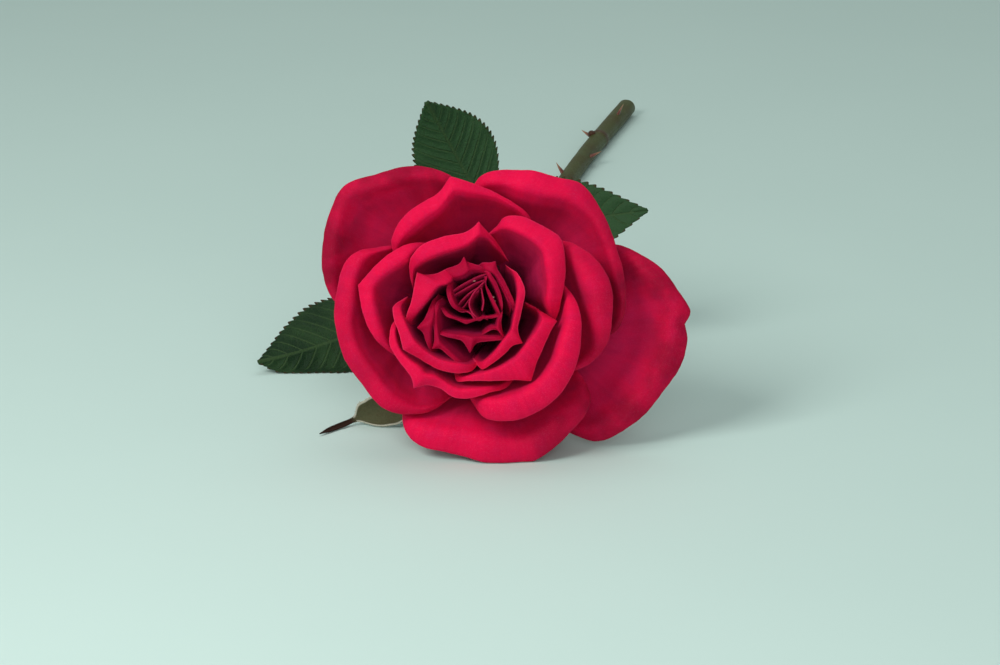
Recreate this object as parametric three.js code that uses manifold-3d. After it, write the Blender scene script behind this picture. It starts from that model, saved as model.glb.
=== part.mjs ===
// A picked shrub rose with a full double bloom, lying on its lower petals and the end of its stem.
// Millimetres, +Z up. The bloom faces -Y and looks up a little; the stem runs back along +Y.
import * as THREE from "three";
import { mergeVertices } from "three/addons/utils/BufferGeometryUtils.js";
import Module from "manifold-3d";

const wasm = await Module();
wasm.setup();

// Place of the heart above the surface, and the shift that puts the middle of the flower on the origin
const AXIS_TILT = THREE.MathUtils.degToRad(18);
const HEART_HEIGHT = 30.6;
const MIDDLE_X = -2.4;
const MIDDLE_Y = 122.5;

// Petals. A claw grows from the receptacle; each layer starts a little further out than the last.
const PETAL_THICKNESS = 0.62;
const CLAW_RADIUS = 2.4;
const CLAW_PITCH = 0.24;
const CLAW_HALF_WIDTH = 0.8;
const CLAW_WIDEN = 0.02;
const CLAW_DEPTH = -25;
const CLAW_STEP_BACK = 0.1;
const CLAW_SPREAD = 1.8;
const FLARE = 0.3;
const OPENING = 0.3;
const OPENING_LAYERS = [15, 18];
const BELLY = 1.3;
const BELLY_STEP = 0.1;
const WALL_ROWS = [0, 0.1, 0.26, 0.5, 0.76, 1];
const LIP_ROWS = [0.5, 1];
const LIP_FALL = 0.42;
const LIP_BEND = 1.8;
const SIDE_STEP = 0.6;

// Heart: the layer of its folded petals, and the core and feet of the petaloids
const HEART_LAYER = -3;
const CORE = [[0, -26.8], [2, -26.8], [2.2, -24], [2, -20], [0, -20]];
const CORE_SIDES = 12;
const PETALOID_FOOT = -21;
const PETALOID_FOOT_REACH = 0.16;
const PETALOID_ROWS = [[0.42, 0.7], [0.78, 0.36], [1, 0]];
const PETALOID_ROOT_RADIUS = 1.7;

// Calyx: the outline of the hip as radius and depth, and the half width of a sepal along its length
const HIP = [
  [0, -38.6], [3, -38.2], [4.4, -36.4], [4.9, -34.2], [5.2, -32.4], [6.2, -30.6], [6.9, -29.2],
  [6.6, -28.6], [2.4, -27.35], [0, -27.35],
];
const HIP_SIDES = 14;
const SEPAL_THICKNESS = 0.65;
const SEPAL_ACROSS = [-1, -0.5, 0, 0.5, 1];
const SEPAL_HOLLOW = 0.28;

// Stem and its prickles
const STEM_PATH = [
  [0, 37, 18.6], [0.4, 52, 13.7], [2, 75, 7.4], [5.3, 105, 3.4], [12.2, 150, 1.96],
  [23.5, 205, 1.94], [35.2, 252, 1.94],
];
const STEM_RADII = [1.9, 2.15];
const STEM_SIDES = 8;
const STEM_STEPS = 26;
const PRICKLES = 9;
const FIRST_PRICKLE = 0.3;
const LAST_PRICKLE = 0.94;
const PRICKLE_LENGTH = 3.4;
const PRICKLE_HALF_WIDTH = 0.62;
const PRICKLE_HALF_LENGTH = 1.5;
const PRICKLE_SUNK = 1.3;
const PRICKLE_SIDES = 5;
const PRICKLE_SWING = 1.25;
const GOLDEN_TURN = THREE.MathUtils.degToRad(137.5);

// Leaves
const RACHIS_RADII = [0.95, 0.6];
const RACHIS_SIDES = 6;
const RACHIS_STEPS = 8;
const LEAF_THICKNESS = 0.62;
const LEAFLET_TEETH = 8;
const LEAFLET_ACROSS = [-1, -0.55, 0, 0.55, 1];
const LEAFLET_WIDEST = 0.42;
const LEAFLET_BASE_ROUND = 0.6;
const LEAFLET_TIP_SHARP = 1.1;
const MIDRIB_HALF_WIDTH = 0.35;
const LEAFLET_NOTCH = 0.86;
const TOOTH_LEAN = 0.5;
const LEAFLET_FOLD = 0.2;
const LEAFLET_ARCH = 0.35;

// Size of the block below the surface that trims the low spots flat
const SLAB_SIZE = 700;
const SLAB_DEPTH = 20;

// Colours seen on the rose
const CRIMSON = 0xd0103c;
const DEEP_CRIMSON = 0x9c0a30;
const GREEN = 0x4d6b35;
const DARK_GREEN = 0x2f5238;
const OLIVE = 0x7f8a4a;

// The bloom has its own frame: u right, v up, w along its axis towards the viewer, from the heart.
const flower = new THREE.Group();
const rose = new THREE.Group();
rose.position.set(-MIDDLE_X, -MIDDLE_Y, 0);
flower.add(rose);
const bloom = new THREE.Group();
bloom.rotation.x = Math.PI / 2 - AXIS_TILT;
bloom.position.z = HEART_HEIGHT;
rose.add(bloom);
flower.updateMatrixWorld(true);

// Adds a closed geometry to a group as one named sub-part.
function add(group, name, geometry, color, roughness) {
  const material = new THREE.MeshStandardMaterial({ color, roughness, metalness: 0 });
  const mesh = new THREE.Mesh(geometry, material);
  mesh.name = name;
  group.add(mesh);
}

// Turns a grid of points into a closed sheet of even thickness, split alike on both faces.
function sheet(grid, thickness) {
  const rows = grid.length;
  const columns = grid[0].length;
  const clamp = THREE.MathUtils.clamp;
  const at = (r, c) => grid[clamp(r, 0, rows - 1)][clamp(c, 0, columns - 1)];
  const positions = [];
  for (const side of [1, -1]) {
    for (let r = 0; r < rows; r += 1) {
      for (let c = 0; c < columns; c += 1) {
        const along = new THREE.Vector3().subVectors(at(r + 1, c), at(r - 1, c));
        const across = new THREE.Vector3().subVectors(at(r, c + 1), at(r, c - 1));
        const normal = new THREE.Vector3().crossVectors(across, along).normalize();
        const point = at(r, c).clone().addScaledVector(normal, (side * thickness) / 2);
        positions.push(point.x, point.y, point.z);
      }
    }
  }
  const back = rows * columns;
  const index = [];
  const quad = (a, b, c, d) => index.push(a, b, c, a, c, d);
  for (let r = 0; r < rows - 1; r += 1) {
    for (let c = 0; c < columns - 1; c += 1) {
      const a = r * columns + c;
      quad(a, a + 1, a + columns + 1, a + columns);
      index.push(back + a, back + a + columns + 1, back + a + 1);
      index.push(back + a, back + a + columns, back + a + columns + 1);
    }
  }
  const edge = [];
  for (let c = 0; c < columns - 1; c += 1) edge.push(c);
  for (let r = 0; r < rows - 1; r += 1) edge.push(r * columns + columns - 1);
  for (let c = columns - 1; c > 0; c -= 1) edge.push((rows - 1) * columns + c);
  for (let r = rows - 1; r > 0; r -= 1) edge.push(r * columns);
  edge.forEach((a, i) => {
    const b = edge[(i + 1) % edge.length];
    quad(b, a, back + a, back + b);
  });
  const geometry = new THREE.BufferGeometry();
  geometry.setAttribute("position", new THREE.Float32BufferAttribute(positions, 3));
  geometry.setIndex(index);
  return geometry;
}

// A closed geometry as a solid that can be joined and cut.
function solidOf(geometry) {
  const bare = geometry.clone();
  bare.deleteAttribute("normal");
  bare.deleteAttribute("uv");
  const merged = mergeVertices(bare, 1e-4);
  const vertProperties = new Float32Array(merged.attributes.position.array);
  const triVerts = new Uint32Array(merged.index.array);
  return new wasm.Manifold(new wasm.Mesh({ numProp: 3, vertProperties, triVerts }));
}

function geometryOf(solid) {
  const mesh = solid.getMesh();
  const geometry = new THREE.BufferGeometry();
  geometry.setAttribute("position", new THREE.BufferAttribute(mesh.vertProperties, 3));
  geometry.setIndex(new THREE.BufferAttribute(mesh.triVerts, 1));
  return geometry;
}

function joined(solids) {
  return solids.reduce((all, one) => all.add(one));
}

// Cuts off what would sink below the surface, which leaves a small flat spot to rest on.
function restOnSurface(solid, group) {
  const slab = new THREE.BoxGeometry(SLAB_SIZE, SLAB_SIZE, SLAB_DEPTH);
  slab.translate(0, 0, -SLAB_DEPTH / 2);
  slab.applyMatrix4(group.matrixWorld.clone().invert());
  return geometryOf(solid.subtract(solidOf(slab)));
}

// A solid turned about the axis of the bloom, from an outline of radius and depth.
function turned(outline, sides) {
  const points = outline.map(([radius, depth]) => new THREE.Vector2(radius, depth));
  return solidOf(new THREE.LatheGeometry(points, sides).rotateX(Math.PI / 2));
}

// The grid of one petal: a narrow claw, a wall that bellies out and up to a crest, and a lip that
// curls outwards from the crest to the rim. The rim runs anticlockwise as the viewer sees it; each
// of its points is [u, v, w, width of the lip there]. The outermost layers open out flatter.
function petalGrid({ layer, claw, rim }) {
  const belly = BELLY + BELLY_STEP * layer;
  const clawRadius = CLAW_RADIUS + CLAW_PITCH * layer;
  const clawDepth = CLAW_DEPTH - CLAW_STEP_BACK * layer;
  const clawMiddle = THREE.MathUtils.degToRad(claw);
  const clawHalf = (CLAW_HALF_WIDTH + CLAW_WIDEN * layer) / clawRadius;
  const fromClaw = (angle) => Math.atan2(Math.sin(angle - clawMiddle), Math.cos(angle - clawMiddle));
  const columns = rim.map(([u, v, w, lip], i) => ({
    at: i / (rim.length - 1),
    lip,
    angle: fromClaw(Math.atan2(v, u)),
    radius: Math.hypot(u, v) - lip,
    depth: w + lip * LIP_FALL,
  }));
  const place = (radius, angle, depth) =>
    new THREE.Vector3(
      radius * Math.cos(clawMiddle + angle),
      radius * Math.sin(clawMiddle + angle),
      depth,
    );
  const flare = FLARE + OPENING * THREE.MathUtils.smoothstep(layer, ...OPENING_LAYERS);
  const profile = (height) => flare * height + (1 - flare) * (1 - (1 - height) ** belly);
  const top = Math.max(...columns.map((c) => c.depth));
  const wall = WALL_ROWS.map((h) =>
    columns.map((c) => {
      const share = (c.depth - clawDepth) / (top - clawDepth);
      const out = profile(share * h) / profile(share);
      const open = 1 - (1 - h) ** CLAW_SPREAD;
      const angle = THREE.MathUtils.lerp((2 * c.at - 1) * clawHalf, c.angle, open);
      const radius = THREE.MathUtils.lerp(clawRadius, c.radius, out);
      return place(radius, angle, THREE.MathUtils.lerp(clawDepth, c.depth, h));
    }),
  );
  const curl = LIP_ROWS.map((l) =>
    columns.map((c, i) => {
      const side = (i === columns.length - 1) - (i === 0);
      if (side !== 0) return place(c.radius, c.angle + (side * SIDE_STEP * c.lip * l) / c.radius, c.depth);
      return place(c.radius + c.lip * l, c.angle, c.depth - c.lip * LIP_FALL * l ** LIP_BEND);
    }),
  );
  return [...wall, ...curl];
}

// The petals with a place of their own, from the outermost to those round the heart
const PETALS = [
  {
    name: "petal_outer_right",
    layer: 19,
    claw: -20,
    rim: [
      [11.9, -20.7, -17, 1], [17.9, -25.1, -15, 3], [22.6, -26, -14, 4], [29.4, -22.5, -12.5, 4],
      [34.7, -17.2, -11.5, 4], [38.1, -11.5, -11, 4], [39.6, -6.2, -10.5, 4],
      [39.1, -3.6, -10.5, 4], [40.2, -1.3, -10.5, 4], [37.7, 3.2, -10.5, 4], [33, 8.1, -11, 3.5],
      [27.4, 11.5, -12, 2.5], [21.7, 11.4, -14.5, 0.8],
    ],
  },
  {
    name: "petal_outer_upper_left",
    layer: 18,
    claw: 134,
    rim: [
      [-3.1, 21.1, -15, 0.8], [-6, 24.7, -12, 2], [-10.4, 26.6, -11, 3], [-15.5, 26.4, -10.5, 3],
      [-20.8, 24.7, -10.5, 3], [-26.6, 22.3, -11, 3], [-29.1, 17, -11, 3], [-30.1, 11.9, -11.5, 3],
      [-30, 6.6, -12.5, 2.5], [-28.7, 1.3, -14, 2], [-23.2, -2.5, -17, 1],
    ],
  },
  {
    name: "petal_outer_bottom",
    layer: 17,
    claw: -80,
    rim: [
      [-13.9, -16.6, -13, 0.7], [-14.9, -20.6, -10, 1], [-14.3, -23.6, -9, 3],
      [-11.7, -26.4, -8, 4.5], [-7.5, -27.9, -6.5, 5.5], [-1.9, -29.1, -6.5, 6],
      [3.8, -30.2, -6.5, 6], [9.4, -30.2, -6.5, 6], [13.6, -27.4, -6.5, 6], [16.6, -24.5, -7, 5],
      [20.2, -20.6, -8, 4], [21.1, -17, -10, 3], [17.5, -11.7, -14, 1],
    ],
  },
  {
    name: "petal_outer_upper_right",
    layer: 16,
    claw: 43,
    rim: [
      [20.2, -7.5, -14, 0.7], [26, -4.7, -10, 1], [27.9, 0, -8, 1.5], [27, 6.6, -6.5, 2],
      [24.9, 13.8, -6, 2.5], [22.6, 19.1, -5.5, 3.5], [18.9, 23, -5.5, 4.5], [14.2, 24.3, -5, 5],
      [9.1, 25.7, -5, 5], [3.8, 25.7, -5.5, 3.2], [0, 24.2, -7, 2], [-2.4, 20.1, -12, 0.7],
    ],
  },
  {
    name: "petal_left",
    layer: 15.3,
    claw: 196,
    rim: [
      [-15.3, 11.3, -10, 0.7], [-19.2, 11.3, -7, 2], [-23, 10.4, -5, 3], [-25.7, 7.7, -4.5, 3.5],
      [-27.2, 1.7, -4, 4], [-27.5, -3.8, -4, 4], [-26.2, -9.2, -4, 4], [-22.6, -14.7, -4.5, 4],
      [-18.5, -19.2, -5.5, 3.5], [-14.9, -20.8, -6.5, 3], [-9.8, -20.4, -7.5, 1.5],
      [-4.7, -17, -12, 0.7],
    ],
  },
  {
    name: "petal_top",
    layer: 14,
    claw: 104,
    rim: [
      [10.3, 12.5, -10, 0.7], [9.4, 16.6, -6.5, 0.8], [6.8, 19.2, -4.5, 1], [2.8, 21.5, -3.5, 1.5],
      [-1.9, 23, -3, 2], [-5.7, 24.3, -2.5, 3], [-7.9, 21.5, -2.5, 3.5], [-11.7, 18.9, -2.5, 3.5],
      [-14.9, 16, -3, 3], [-16.8, 12.3, -4.5, 2], [-16.1, 7.5, -9, 1],
    ],
  },
  {
    name: "petal_right",
    layer: 13,
    claw: -2,
    rim: [
      [14, -13.8, -11, 1], [21.1, -11.1, -7, 1.5], [24, -7.5, -4.5, 2.5], [24.9, -2.5, -3, 4],
      [24.9, 2.3, -2, 4.5], [23.8, 6.2, -1.5, 5], [21.7, 9.1, -1.5, 4.5], [18.9, 10.9, -2, 3],
      [16.2, 12.1, -3.5, 1.8], [12.3, 11.4, -7, 0.8],
    ],
  },
  {
    name: "petal_inner_left",
    layer: 12,
    claw: 174,
    rim: [
      [-7.7, 11.7, -8, 0.7], [-10.4, 11.9, -4, 0.8], [-13.6, 11.5, -2, 2], [-17, 9.6, -1.5, 3],
      [-20.4, 6.8, -1, 3], [-23.2, 3.8, -1, 3], [-22.5, 0.4, -1, 2.5], [-20.9, -4.3, -1.5, 2],
      [-19.2, -7.2, -2.5, 1.5], [-16.6, -9.4, -4.5, 1], [-12.2, -11, -9, 0.7],
    ],
  },
  {
    name: "petal_inner_lower_right",
    layer: 11,
    claw: -40,
    rim: [
      [-3, -15.9, -8, 0.7], [-1.1, -18.9, -4, 1.2], [0.9, -21.5, -1.5, 3.8],
      [4.7, -21.9, -0.5, 4.2], [9.4, -20.8, 0, 4.6], [13.6, -18.1, 0.5, 4.4], [17, -14.2, 0.5, 4.5],
      [18.9, -8.1, 0.5, 4], [18.9, -2.5, 0, 2.5], [17.5, 1.9, -2, 1.2], [14.7, 5.6, -7, 0.7],
    ],
  },
  {
    name: "petal_inner_upper_right",
    layer: 10,
    claw: 30,
    rim: [
      [12.2, -4.9, -8, 0.7], [14.3, -2.8, -4, 0.7], [15.3, 0.9, -1, 2.8], [16, 5.1, 0, 3.2],
      [15.8, 9.4, 0.5, 3.8], [15.1, 12.6, 0.5, 4], [11.3, 15.3, 0.5, 3.5], [7.5, 16.8, 0, 3],
      [4.7, 16.6, -1, 2], [3.2, 14.9, -3, 1], [1.4, 13.7, -6.5, 0.7],
    ],
  },
  {
    name: "petal_inner_top",
    layer: 9.2,
    claw: 114,
    rim: [
      [6, 9, -6, 0.7], [3, 12.1, -2.5, 0.7], [1.3, 14, -0.5, 1], [-0.2, 15.8, 0, 2.5],
      [-2.6, 13.8, 0, 2.5], [-6.6, 13, 0.5, 3], [-10.4, 11.5, 0.5, 2.8], [-12.6, 9.4, 0, 2],
      [-13.4, 7.4, -2, 1], [-13.2, 3, -6, 0.7],
    ],
  },
  {
    name: "petal_inner_lower_left",
    layer: 9,
    claw: 232,
    rim: [
      [-15.4, -1.9, -6, 0.7], [-16.8, -4.3, -2, 0.8], [-17, -7.5, -1.2, 1.2],
      [-15.1, -10.8, -0.8, 1.4], [-13, -13.6, 0.5, 2.5], [-12.5, -15.7, 0, 3],
      [-9.8, -15.1, 0, 2.2], [-7.5, -15.7, -0.5, 1.4], [-4.7, -17.4, -0.5, 1.4],
      [-1.5, -17.5, -0.5, 1.6], [1.9, -16.6, -1, 1.2], [4.9, -15.7, -3.5, 0.8],
      [7.4, -12.2, -8, 0.7],
    ],
  },
  {
    name: "petal_fold_bottom",
    layer: 6.7,
    claw: 320,
    rim: [
      [-4.8, -11.9, -5, 0.7], [-4.3, -14.3, -2.5, 0.7], [-1.9, -14.3, -0.5, 0.9],
      [3.8, -14.3, 0.5, 2.2], [7.5, -14.2, 0.5, 4], [9.6, -14.3, 0.6, 4.8], [10.4, -11.3, 0.5, 3.5],
      [11.9, -8.1, 0.5, 2.8], [13.4, -4.9, 0.5, 2.2], [14.5, -3, 0, 2.6], [12.1, -1.5, -3, 0.8],
      [9.2, 0.2, -8, 0.7],
    ],
  },
  {
    name: "petal_band_left",
    layer: 6,
    claw: 200,
    rim: [
      [-14.4, 1.4, -5, 0.7], [-16.4, -0.6, -1.5, 1], [-16, -3.2, 0, 1.6], [-15.1, -5.7, 0.5, 1.8],
      [-14.5, -8.3, 0.8, 2.4], [-11.7, -10, 0, 1.8], [-8.1, -12.1, 0, 1.8], [-4.7, -12.8, 0, 1.7],
      [-1.9, -12.5, -1.5, 1], [-0.3, -11.2, -5, 0.7],
    ],
  },
  {
    name: "petal_small_left",
    layer: 5,
    claw: 148,
    rim: [
      [-5.5, 7.7, -5, 0.7], [-7.5, 7, -2, 1], [-9.4, 5.7, -0.5, 3], [-11.7, 6.4, -0.5, 4.5],
      [-12.1, 3.8, -0.5, 3.5], [-12.6, 0.9, -0.5, 2.5], [-13.4, -1.3, -1, 1.2],
      [-12.6, -2.8, -3.5, 0.7], [-10.7, -4.8, -7, 0.7],
    ],
  },
  {
    name: "petal_small_right",
    layer: 3.8,
    claw: -12,
    rim: [
      [-1, -9.4, -6, 0.7], [0.8, -11.7, -1, 1.3], [3.4, -9.8, 0, 1.2], [5.5, -7.9, 0.5, 1.2],
      [8.1, -7, 0.5, 2], [7.4, -4.9, 0.5, 0.8], [8.1, -0.9, 0.5, 0.7], [8.5, 2.5, 0, 0.7],
      [7.4, 5.8, -1.5, 0.7], [4.5, 7.4, -6, 0.7],
    ],
  },
];

for (const petal of PETALS) {
  const solid = solidOf(sheet(petalGrid(petal), PETAL_THICKNESS));
  add(bloom, petal.name, restOnSurface(solid, bloom), CRIMSON, 0.7);
}

// The small folded petals round the heart and the petaloids inside them all grow from the core.
const FOLDED_PETALS = [
  {
    claw: 198,
    rim: [
      [-7.2, 2.4, -6, 0.4], [-8.7, 0.2, -2, 0.9], [-10.2, -2.8, -0.5, 1.3], [-12.1, -4.3, 0, 1.8],
      [-11.1, -5.5, -0.5, 1.2], [-10.1, -7.2, -1, 0.7], [-8.3, -8.1, -3, 0.4],
    ],
  },
  {
    claw: 232,
    rim: [
      [-7.4, -1, -5, 0.3], [-8.5, -3, -2, 0.6], [-8.3, -5.7, -1, 0.8], [-9.1, -8.3, -0.5, 1.5],
      [-7.2, -8.7, -0.5, 0.8], [-5.3, -9.8, -1, 0.6], [-3.7, -10, -3.5, 0.4],
    ],
  },
  {
    claw: 48,
    rim: [
      [5.4, -1.4, -8, 0.7], [6, 0.4, -4, 0.7], [5.7, 2.3, -2, 0.7], [4.7, 4.7, -1.5, 0.7],
      [3.8, 6.6, -1, 0.7], [3, 8.3, -0.8, 0.9], [1.9, 8.1, -2.5, 0.7], [0.7, 7.4, -6, 0.7],
    ],
  },
  {
    claw: 102,
    rim: [
      [3.6, 3.7, -6, 0.7], [1.3, 5.5, -2.5, 0.7], [-0.4, 7, -1, 0.8], [-2.3, 8.1, -0.5, 1.5],
      [-3, 9.4, -0.5, 2.6], [-4, 8.1, -0.5, 1.8], [-5.5, 7.2, -0.8, 1.3], [-5.8, 5.7, -4, 0.7],
      [-4.7, 3.7, -8, 0.7],
    ],
  },
  {
    claw: 268,
    rim: [
      [-7, -4.4, -4, 0.4], [-5.3, -6.4, -1, 0.8], [-3, -7.5, -0.5, 1.3], [-1.9, -9.1, -0.5, 2.2],
      [-0.8, -7.4, -0.5, 1.2], [1.5, -6.6, -1, 0.8], [4, -6.2, -2, 0.5], [5, -4.4, -6, 0.4],
    ],
  },
];
const PETALOIDS = [
  [[0.8, -4.8, -3], [2.8, -4.9, -2.5], [4.3, -5.8, -1.5], [4.5, -4.3, -2.5], [4.4, -2.6, -4]],
  [
    [-7.9, 0.8, -5], [-6.4, -1.7, -3.5], [-4.7, -2.8, -3], [-2.4, -3.2, -3], [0.4, -2.6, -3.5],
    [4, -2, -4],
  ],
  [[-5.5, 3.5, -4.5], [-5.9, 1.9, -3], [-5.3, 0.4, -2.8], [-4, -0.6, -4]],
  [[-5.2, 1.5, -4], [-3.6, 3.1, -3], [-1.5, 4.1, -2.5], [0.6, 4.2, -3]],
  [[-4.1, -0.2, -6], [-2.2, 1.2, -5], [0.1, 3.5, -4.5]],
  [[0.3, 3.2, -4.5], [-1, 1.2, -4], [-1.4, -0.8, -5], [-0.2, -2.2, -6]],
  [[0.8, 3.3, -4.5], [2.1, 1.9, -3], [3.2, 0, -3], [3.9, -2, -4.5]],
];

// A petaloid: a narrow bent strip whose foot is sunk in the core.
function petaloidGrid(rim) {
  const foot = rim.map(([u, v]) => {
    const reach = Math.min(PETALOID_FOOT_REACH, PETALOID_ROOT_RADIUS / Math.hypot(u, v));
    return new THREE.Vector3(u * reach, v * reach, PETALOID_FOOT);
  });
  const blade = PETALOID_ROWS.map(([out, down]) =>
    rim.map(([u, v, w]) => {
      return new THREE.Vector3(u * out, v * out, THREE.MathUtils.lerp(w, PETALOID_FOOT, down));
    }),
  );
  return [foot, ...blade];
}

const heart = [turned(CORE, CORE_SIDES)];
for (const petal of FOLDED_PETALS) {
  heart.push(solidOf(sheet(petalGrid({ layer: HEART_LAYER, ...petal }), PETAL_THICKNESS)));
}
for (const rim of PETALOIDS) {
  heart.push(solidOf(sheet(petaloidGrid(rim), PETAL_THICKNESS)));
}
add(bloom, "heart_petaloids", geometryOf(joined(heart)), DEEP_CRIMSON, 0.7);

// The calyx: the hip, a green cup under the petals, and its five sepals. A sepal's path is a run of
// [distance from the axis, depth, half width, sway], where sway is in degrees from its turn. The
// first one is broad, lies out along the surface to the left and ends in a thin withered tip.
const SEPALS = [
  {
    turn: 218,
    path: [
      [4.5, -28.8, 2.3, 18], [14.4, -29.2, 3.1, 18.3], [22.1, -27.6, 3.7, 14.4],
      [27.3, -26.4, 3.6, 9.8], [31.3, -26.8, 2.5, 5.7], [33.3, -27, 0.7, 4.1],
      [36.5, -24.8, 0.6, 2.3], [39.8, -21, 0.45, 0.6],
    ],
  },
  {
    turn: 290,
    path: [
      [4.5, -29.3, 2.3], [8.5, -30.4, 2.7], [12.5, -33, 2.5], [15.5, -37, 1.9], [17.2, -41, 1.1],
      [18, -45.5, 0.5],
    ],
  },
  {
    turn: 2,
    path: [
      [4.5, -29.3, 2.3], [9.5, -30.6, 2.7], [14, -33, 2.5], [17.5, -36.5, 1.9], [20, -40.5, 1.1],
      [21, -45, 0.5],
    ],
  },
  {
    turn: 75,
    path: [
      [4.5, -29.3, 2.3], [9.5, -30.4, 2.7], [14.5, -32.2, 2.5], [18.5, -35, 1.9],
      [21.5, -38.5, 1.1], [23, -43, 0.5],
    ],
  },
  {
    turn: 146,
    path: [
      [4.5, -29.3, 2.3], [9.5, -30.6, 2.7], [14, -32.8, 2.5], [18, -36, 1.9], [20.5, -40, 1.1],
      [21.5, -44.5, 0.5],
    ],
  },
];

function sepalGrid({ turn, path }) {
  return path.map(([out, depth, half, sway = 0]) => {
    const angle = THREE.MathUtils.degToRad(turn + sway);
    return SEPAL_ACROSS.map((side) => {
      const aside = side * half;
      const lift = SEPAL_HOLLOW * half * side * side;
      return new THREE.Vector3(
        out * Math.cos(angle) + aside * Math.sin(angle),
        out * Math.sin(angle) - aside * Math.cos(angle),
        depth + lift,
      );
    });
  });
}

const calyx = [turned(HIP, HIP_SIDES)];
for (const sepal of SEPALS) {
  calyx.push(solidOf(sheet(sepalGrid(sepal), SEPAL_THICKNESS)));
}
add(bloom, "calyx", restOnSurface(joined(calyx), bloom), GREEN, 0.8);

function curveThrough(points) {
  return new THREE.CatmullRomCurve3(points.map((point) => new THREE.Vector3(...point)));
}

// A tube along a curve, closed at both ends, with a radius for each end.
function limb(points, radii, sides, steps) {
  const curve = curveThrough(points);
  const corners = Array.from({ length: sides }, (_, i) => {
    const turn = (2 * Math.PI * (i + 0.5)) / sides;
    return new THREE.Vector2(Math.cos(turn), Math.sin(turn));
  });
  const geometry = new THREE.ExtrudeGeometry(new THREE.Shape(corners), { steps, extrudePath: curve });
  const position = geometry.attributes.position;
  const centres = curve.getSpacedPoints(steps);
  const point = new THREE.Vector3();
  for (let i = 0; i < position.count; i += 1) {
    point.fromBufferAttribute(position, i);
    let nearest = 0;
    centres.forEach((centre, k) => {
      const closer = centre.distanceToSquared(point) < centres[nearest].distanceToSquared(point);
      if (closer) nearest = k;
    });
    const radius = THREE.MathUtils.lerp(radii[0], radii[1], nearest / steps);
    point.sub(centres[nearest]).setLength(radius).add(centres[nearest]);
    position.setXYZ(i, point.x, point.y, point.z);
  }
  return solidOf(geometry);
}

// The stem runs back from the hip, comes down to the surface and lies along it.
const stemCurve = curveThrough(STEM_PATH);
const stem = [limb(STEM_PATH, STEM_RADII, STEM_SIDES, STEM_STEPS)];
for (let i = 0; i < PRICKLES; i += 1) {
  const along = THREE.MathUtils.lerp(FIRST_PRICKLE, LAST_PRICKLE, i / (PRICKLES - 1));
  const root = stemCurve.getPointAt(along);
  const swing = Math.sin(i * GOLDEN_TURN) * PRICKLE_SWING;
  const outward = new THREE.Vector3(Math.sin(swing), 0, Math.cos(swing));
  const side = new THREE.Vector3().crossVectors(outward, stemCurve.getTangentAt(along)).normalize();
  const forward = new THREE.Vector3().crossVectors(side, outward);
  const prickle = new THREE.ConeGeometry(1, PRICKLE_LENGTH, PRICKLE_SIDES);
  prickle.scale(PRICKLE_HALF_WIDTH, 1, PRICKLE_HALF_LENGTH);
  prickle.translate(0, PRICKLE_LENGTH / 2 + PRICKLE_SUNK, 0);
  prickle.applyMatrix4(new THREE.Matrix4().makeBasis(side, outward, forward));
  prickle.translate(root.x, root.y, root.z);
  stem.push(solidOf(prickle));
}
add(rose, "stem", restOnSurface(joined(stem), rose), OLIVE, 0.7);

// The half width of a leaflet, as a share of its widest: round at the base and pointed at the tip.
function leafletOutline(share) {
  if (share < LEAFLET_WIDEST) {
    return Math.sin((Math.PI / 2) * (share / LEAFLET_WIDEST)) ** LEAFLET_BASE_ROUND;
  }
  const past = (share - LEAFLET_WIDEST) / (1 - LEAFLET_WIDEST);
  return Math.max(Math.cos((Math.PI / 2) * past), 0) ** LEAFLET_TIP_SHARP;
}

// One toothed leaflet from its base to its tip, folded a little along the midrib.
function leaflet({ base, tip, across, halfWidth }) {
  const start = new THREE.Vector3(...base);
  const along = new THREE.Vector3(...tip).sub(start);
  const length = along.length();
  along.divideScalar(length);
  const side = new THREE.Vector3(...across);
  side.addScaledVector(along, -side.dot(along)).normalize();
  const up = new THREE.Vector3().crossVectors(along, side);
  const stations = LEAFLET_TEETH * 2;
  const rows = Array.from({ length: stations + 1 }, (_, i) => {
    const share = i / stations;
    const half = MIDRIB_HALF_WIDTH + halfWidth * leafletOutline(share);
    const notch = i % 2 === 0;
    return LEAFLET_ACROSS.map((place) => {
      const edge = Math.abs(place) === 1;
      const reach = place * half * (edge && notch ? LEAFLET_NOTCH : 1);
      const forward = length * share + (edge && !notch ? TOOTH_LEAN : 0);
      const lift = LEAFLET_FOLD * Math.abs(reach) + LEAFLET_ARCH * length * share * (1 - share);
      return start
        .clone()
        .addScaledVector(along, forward)
        .addScaledVector(side, reach)
        .addScaledVector(up, lift);
    });
  });
  return solidOf(sheet(rows, LEAF_THICKNESS));
}

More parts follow.
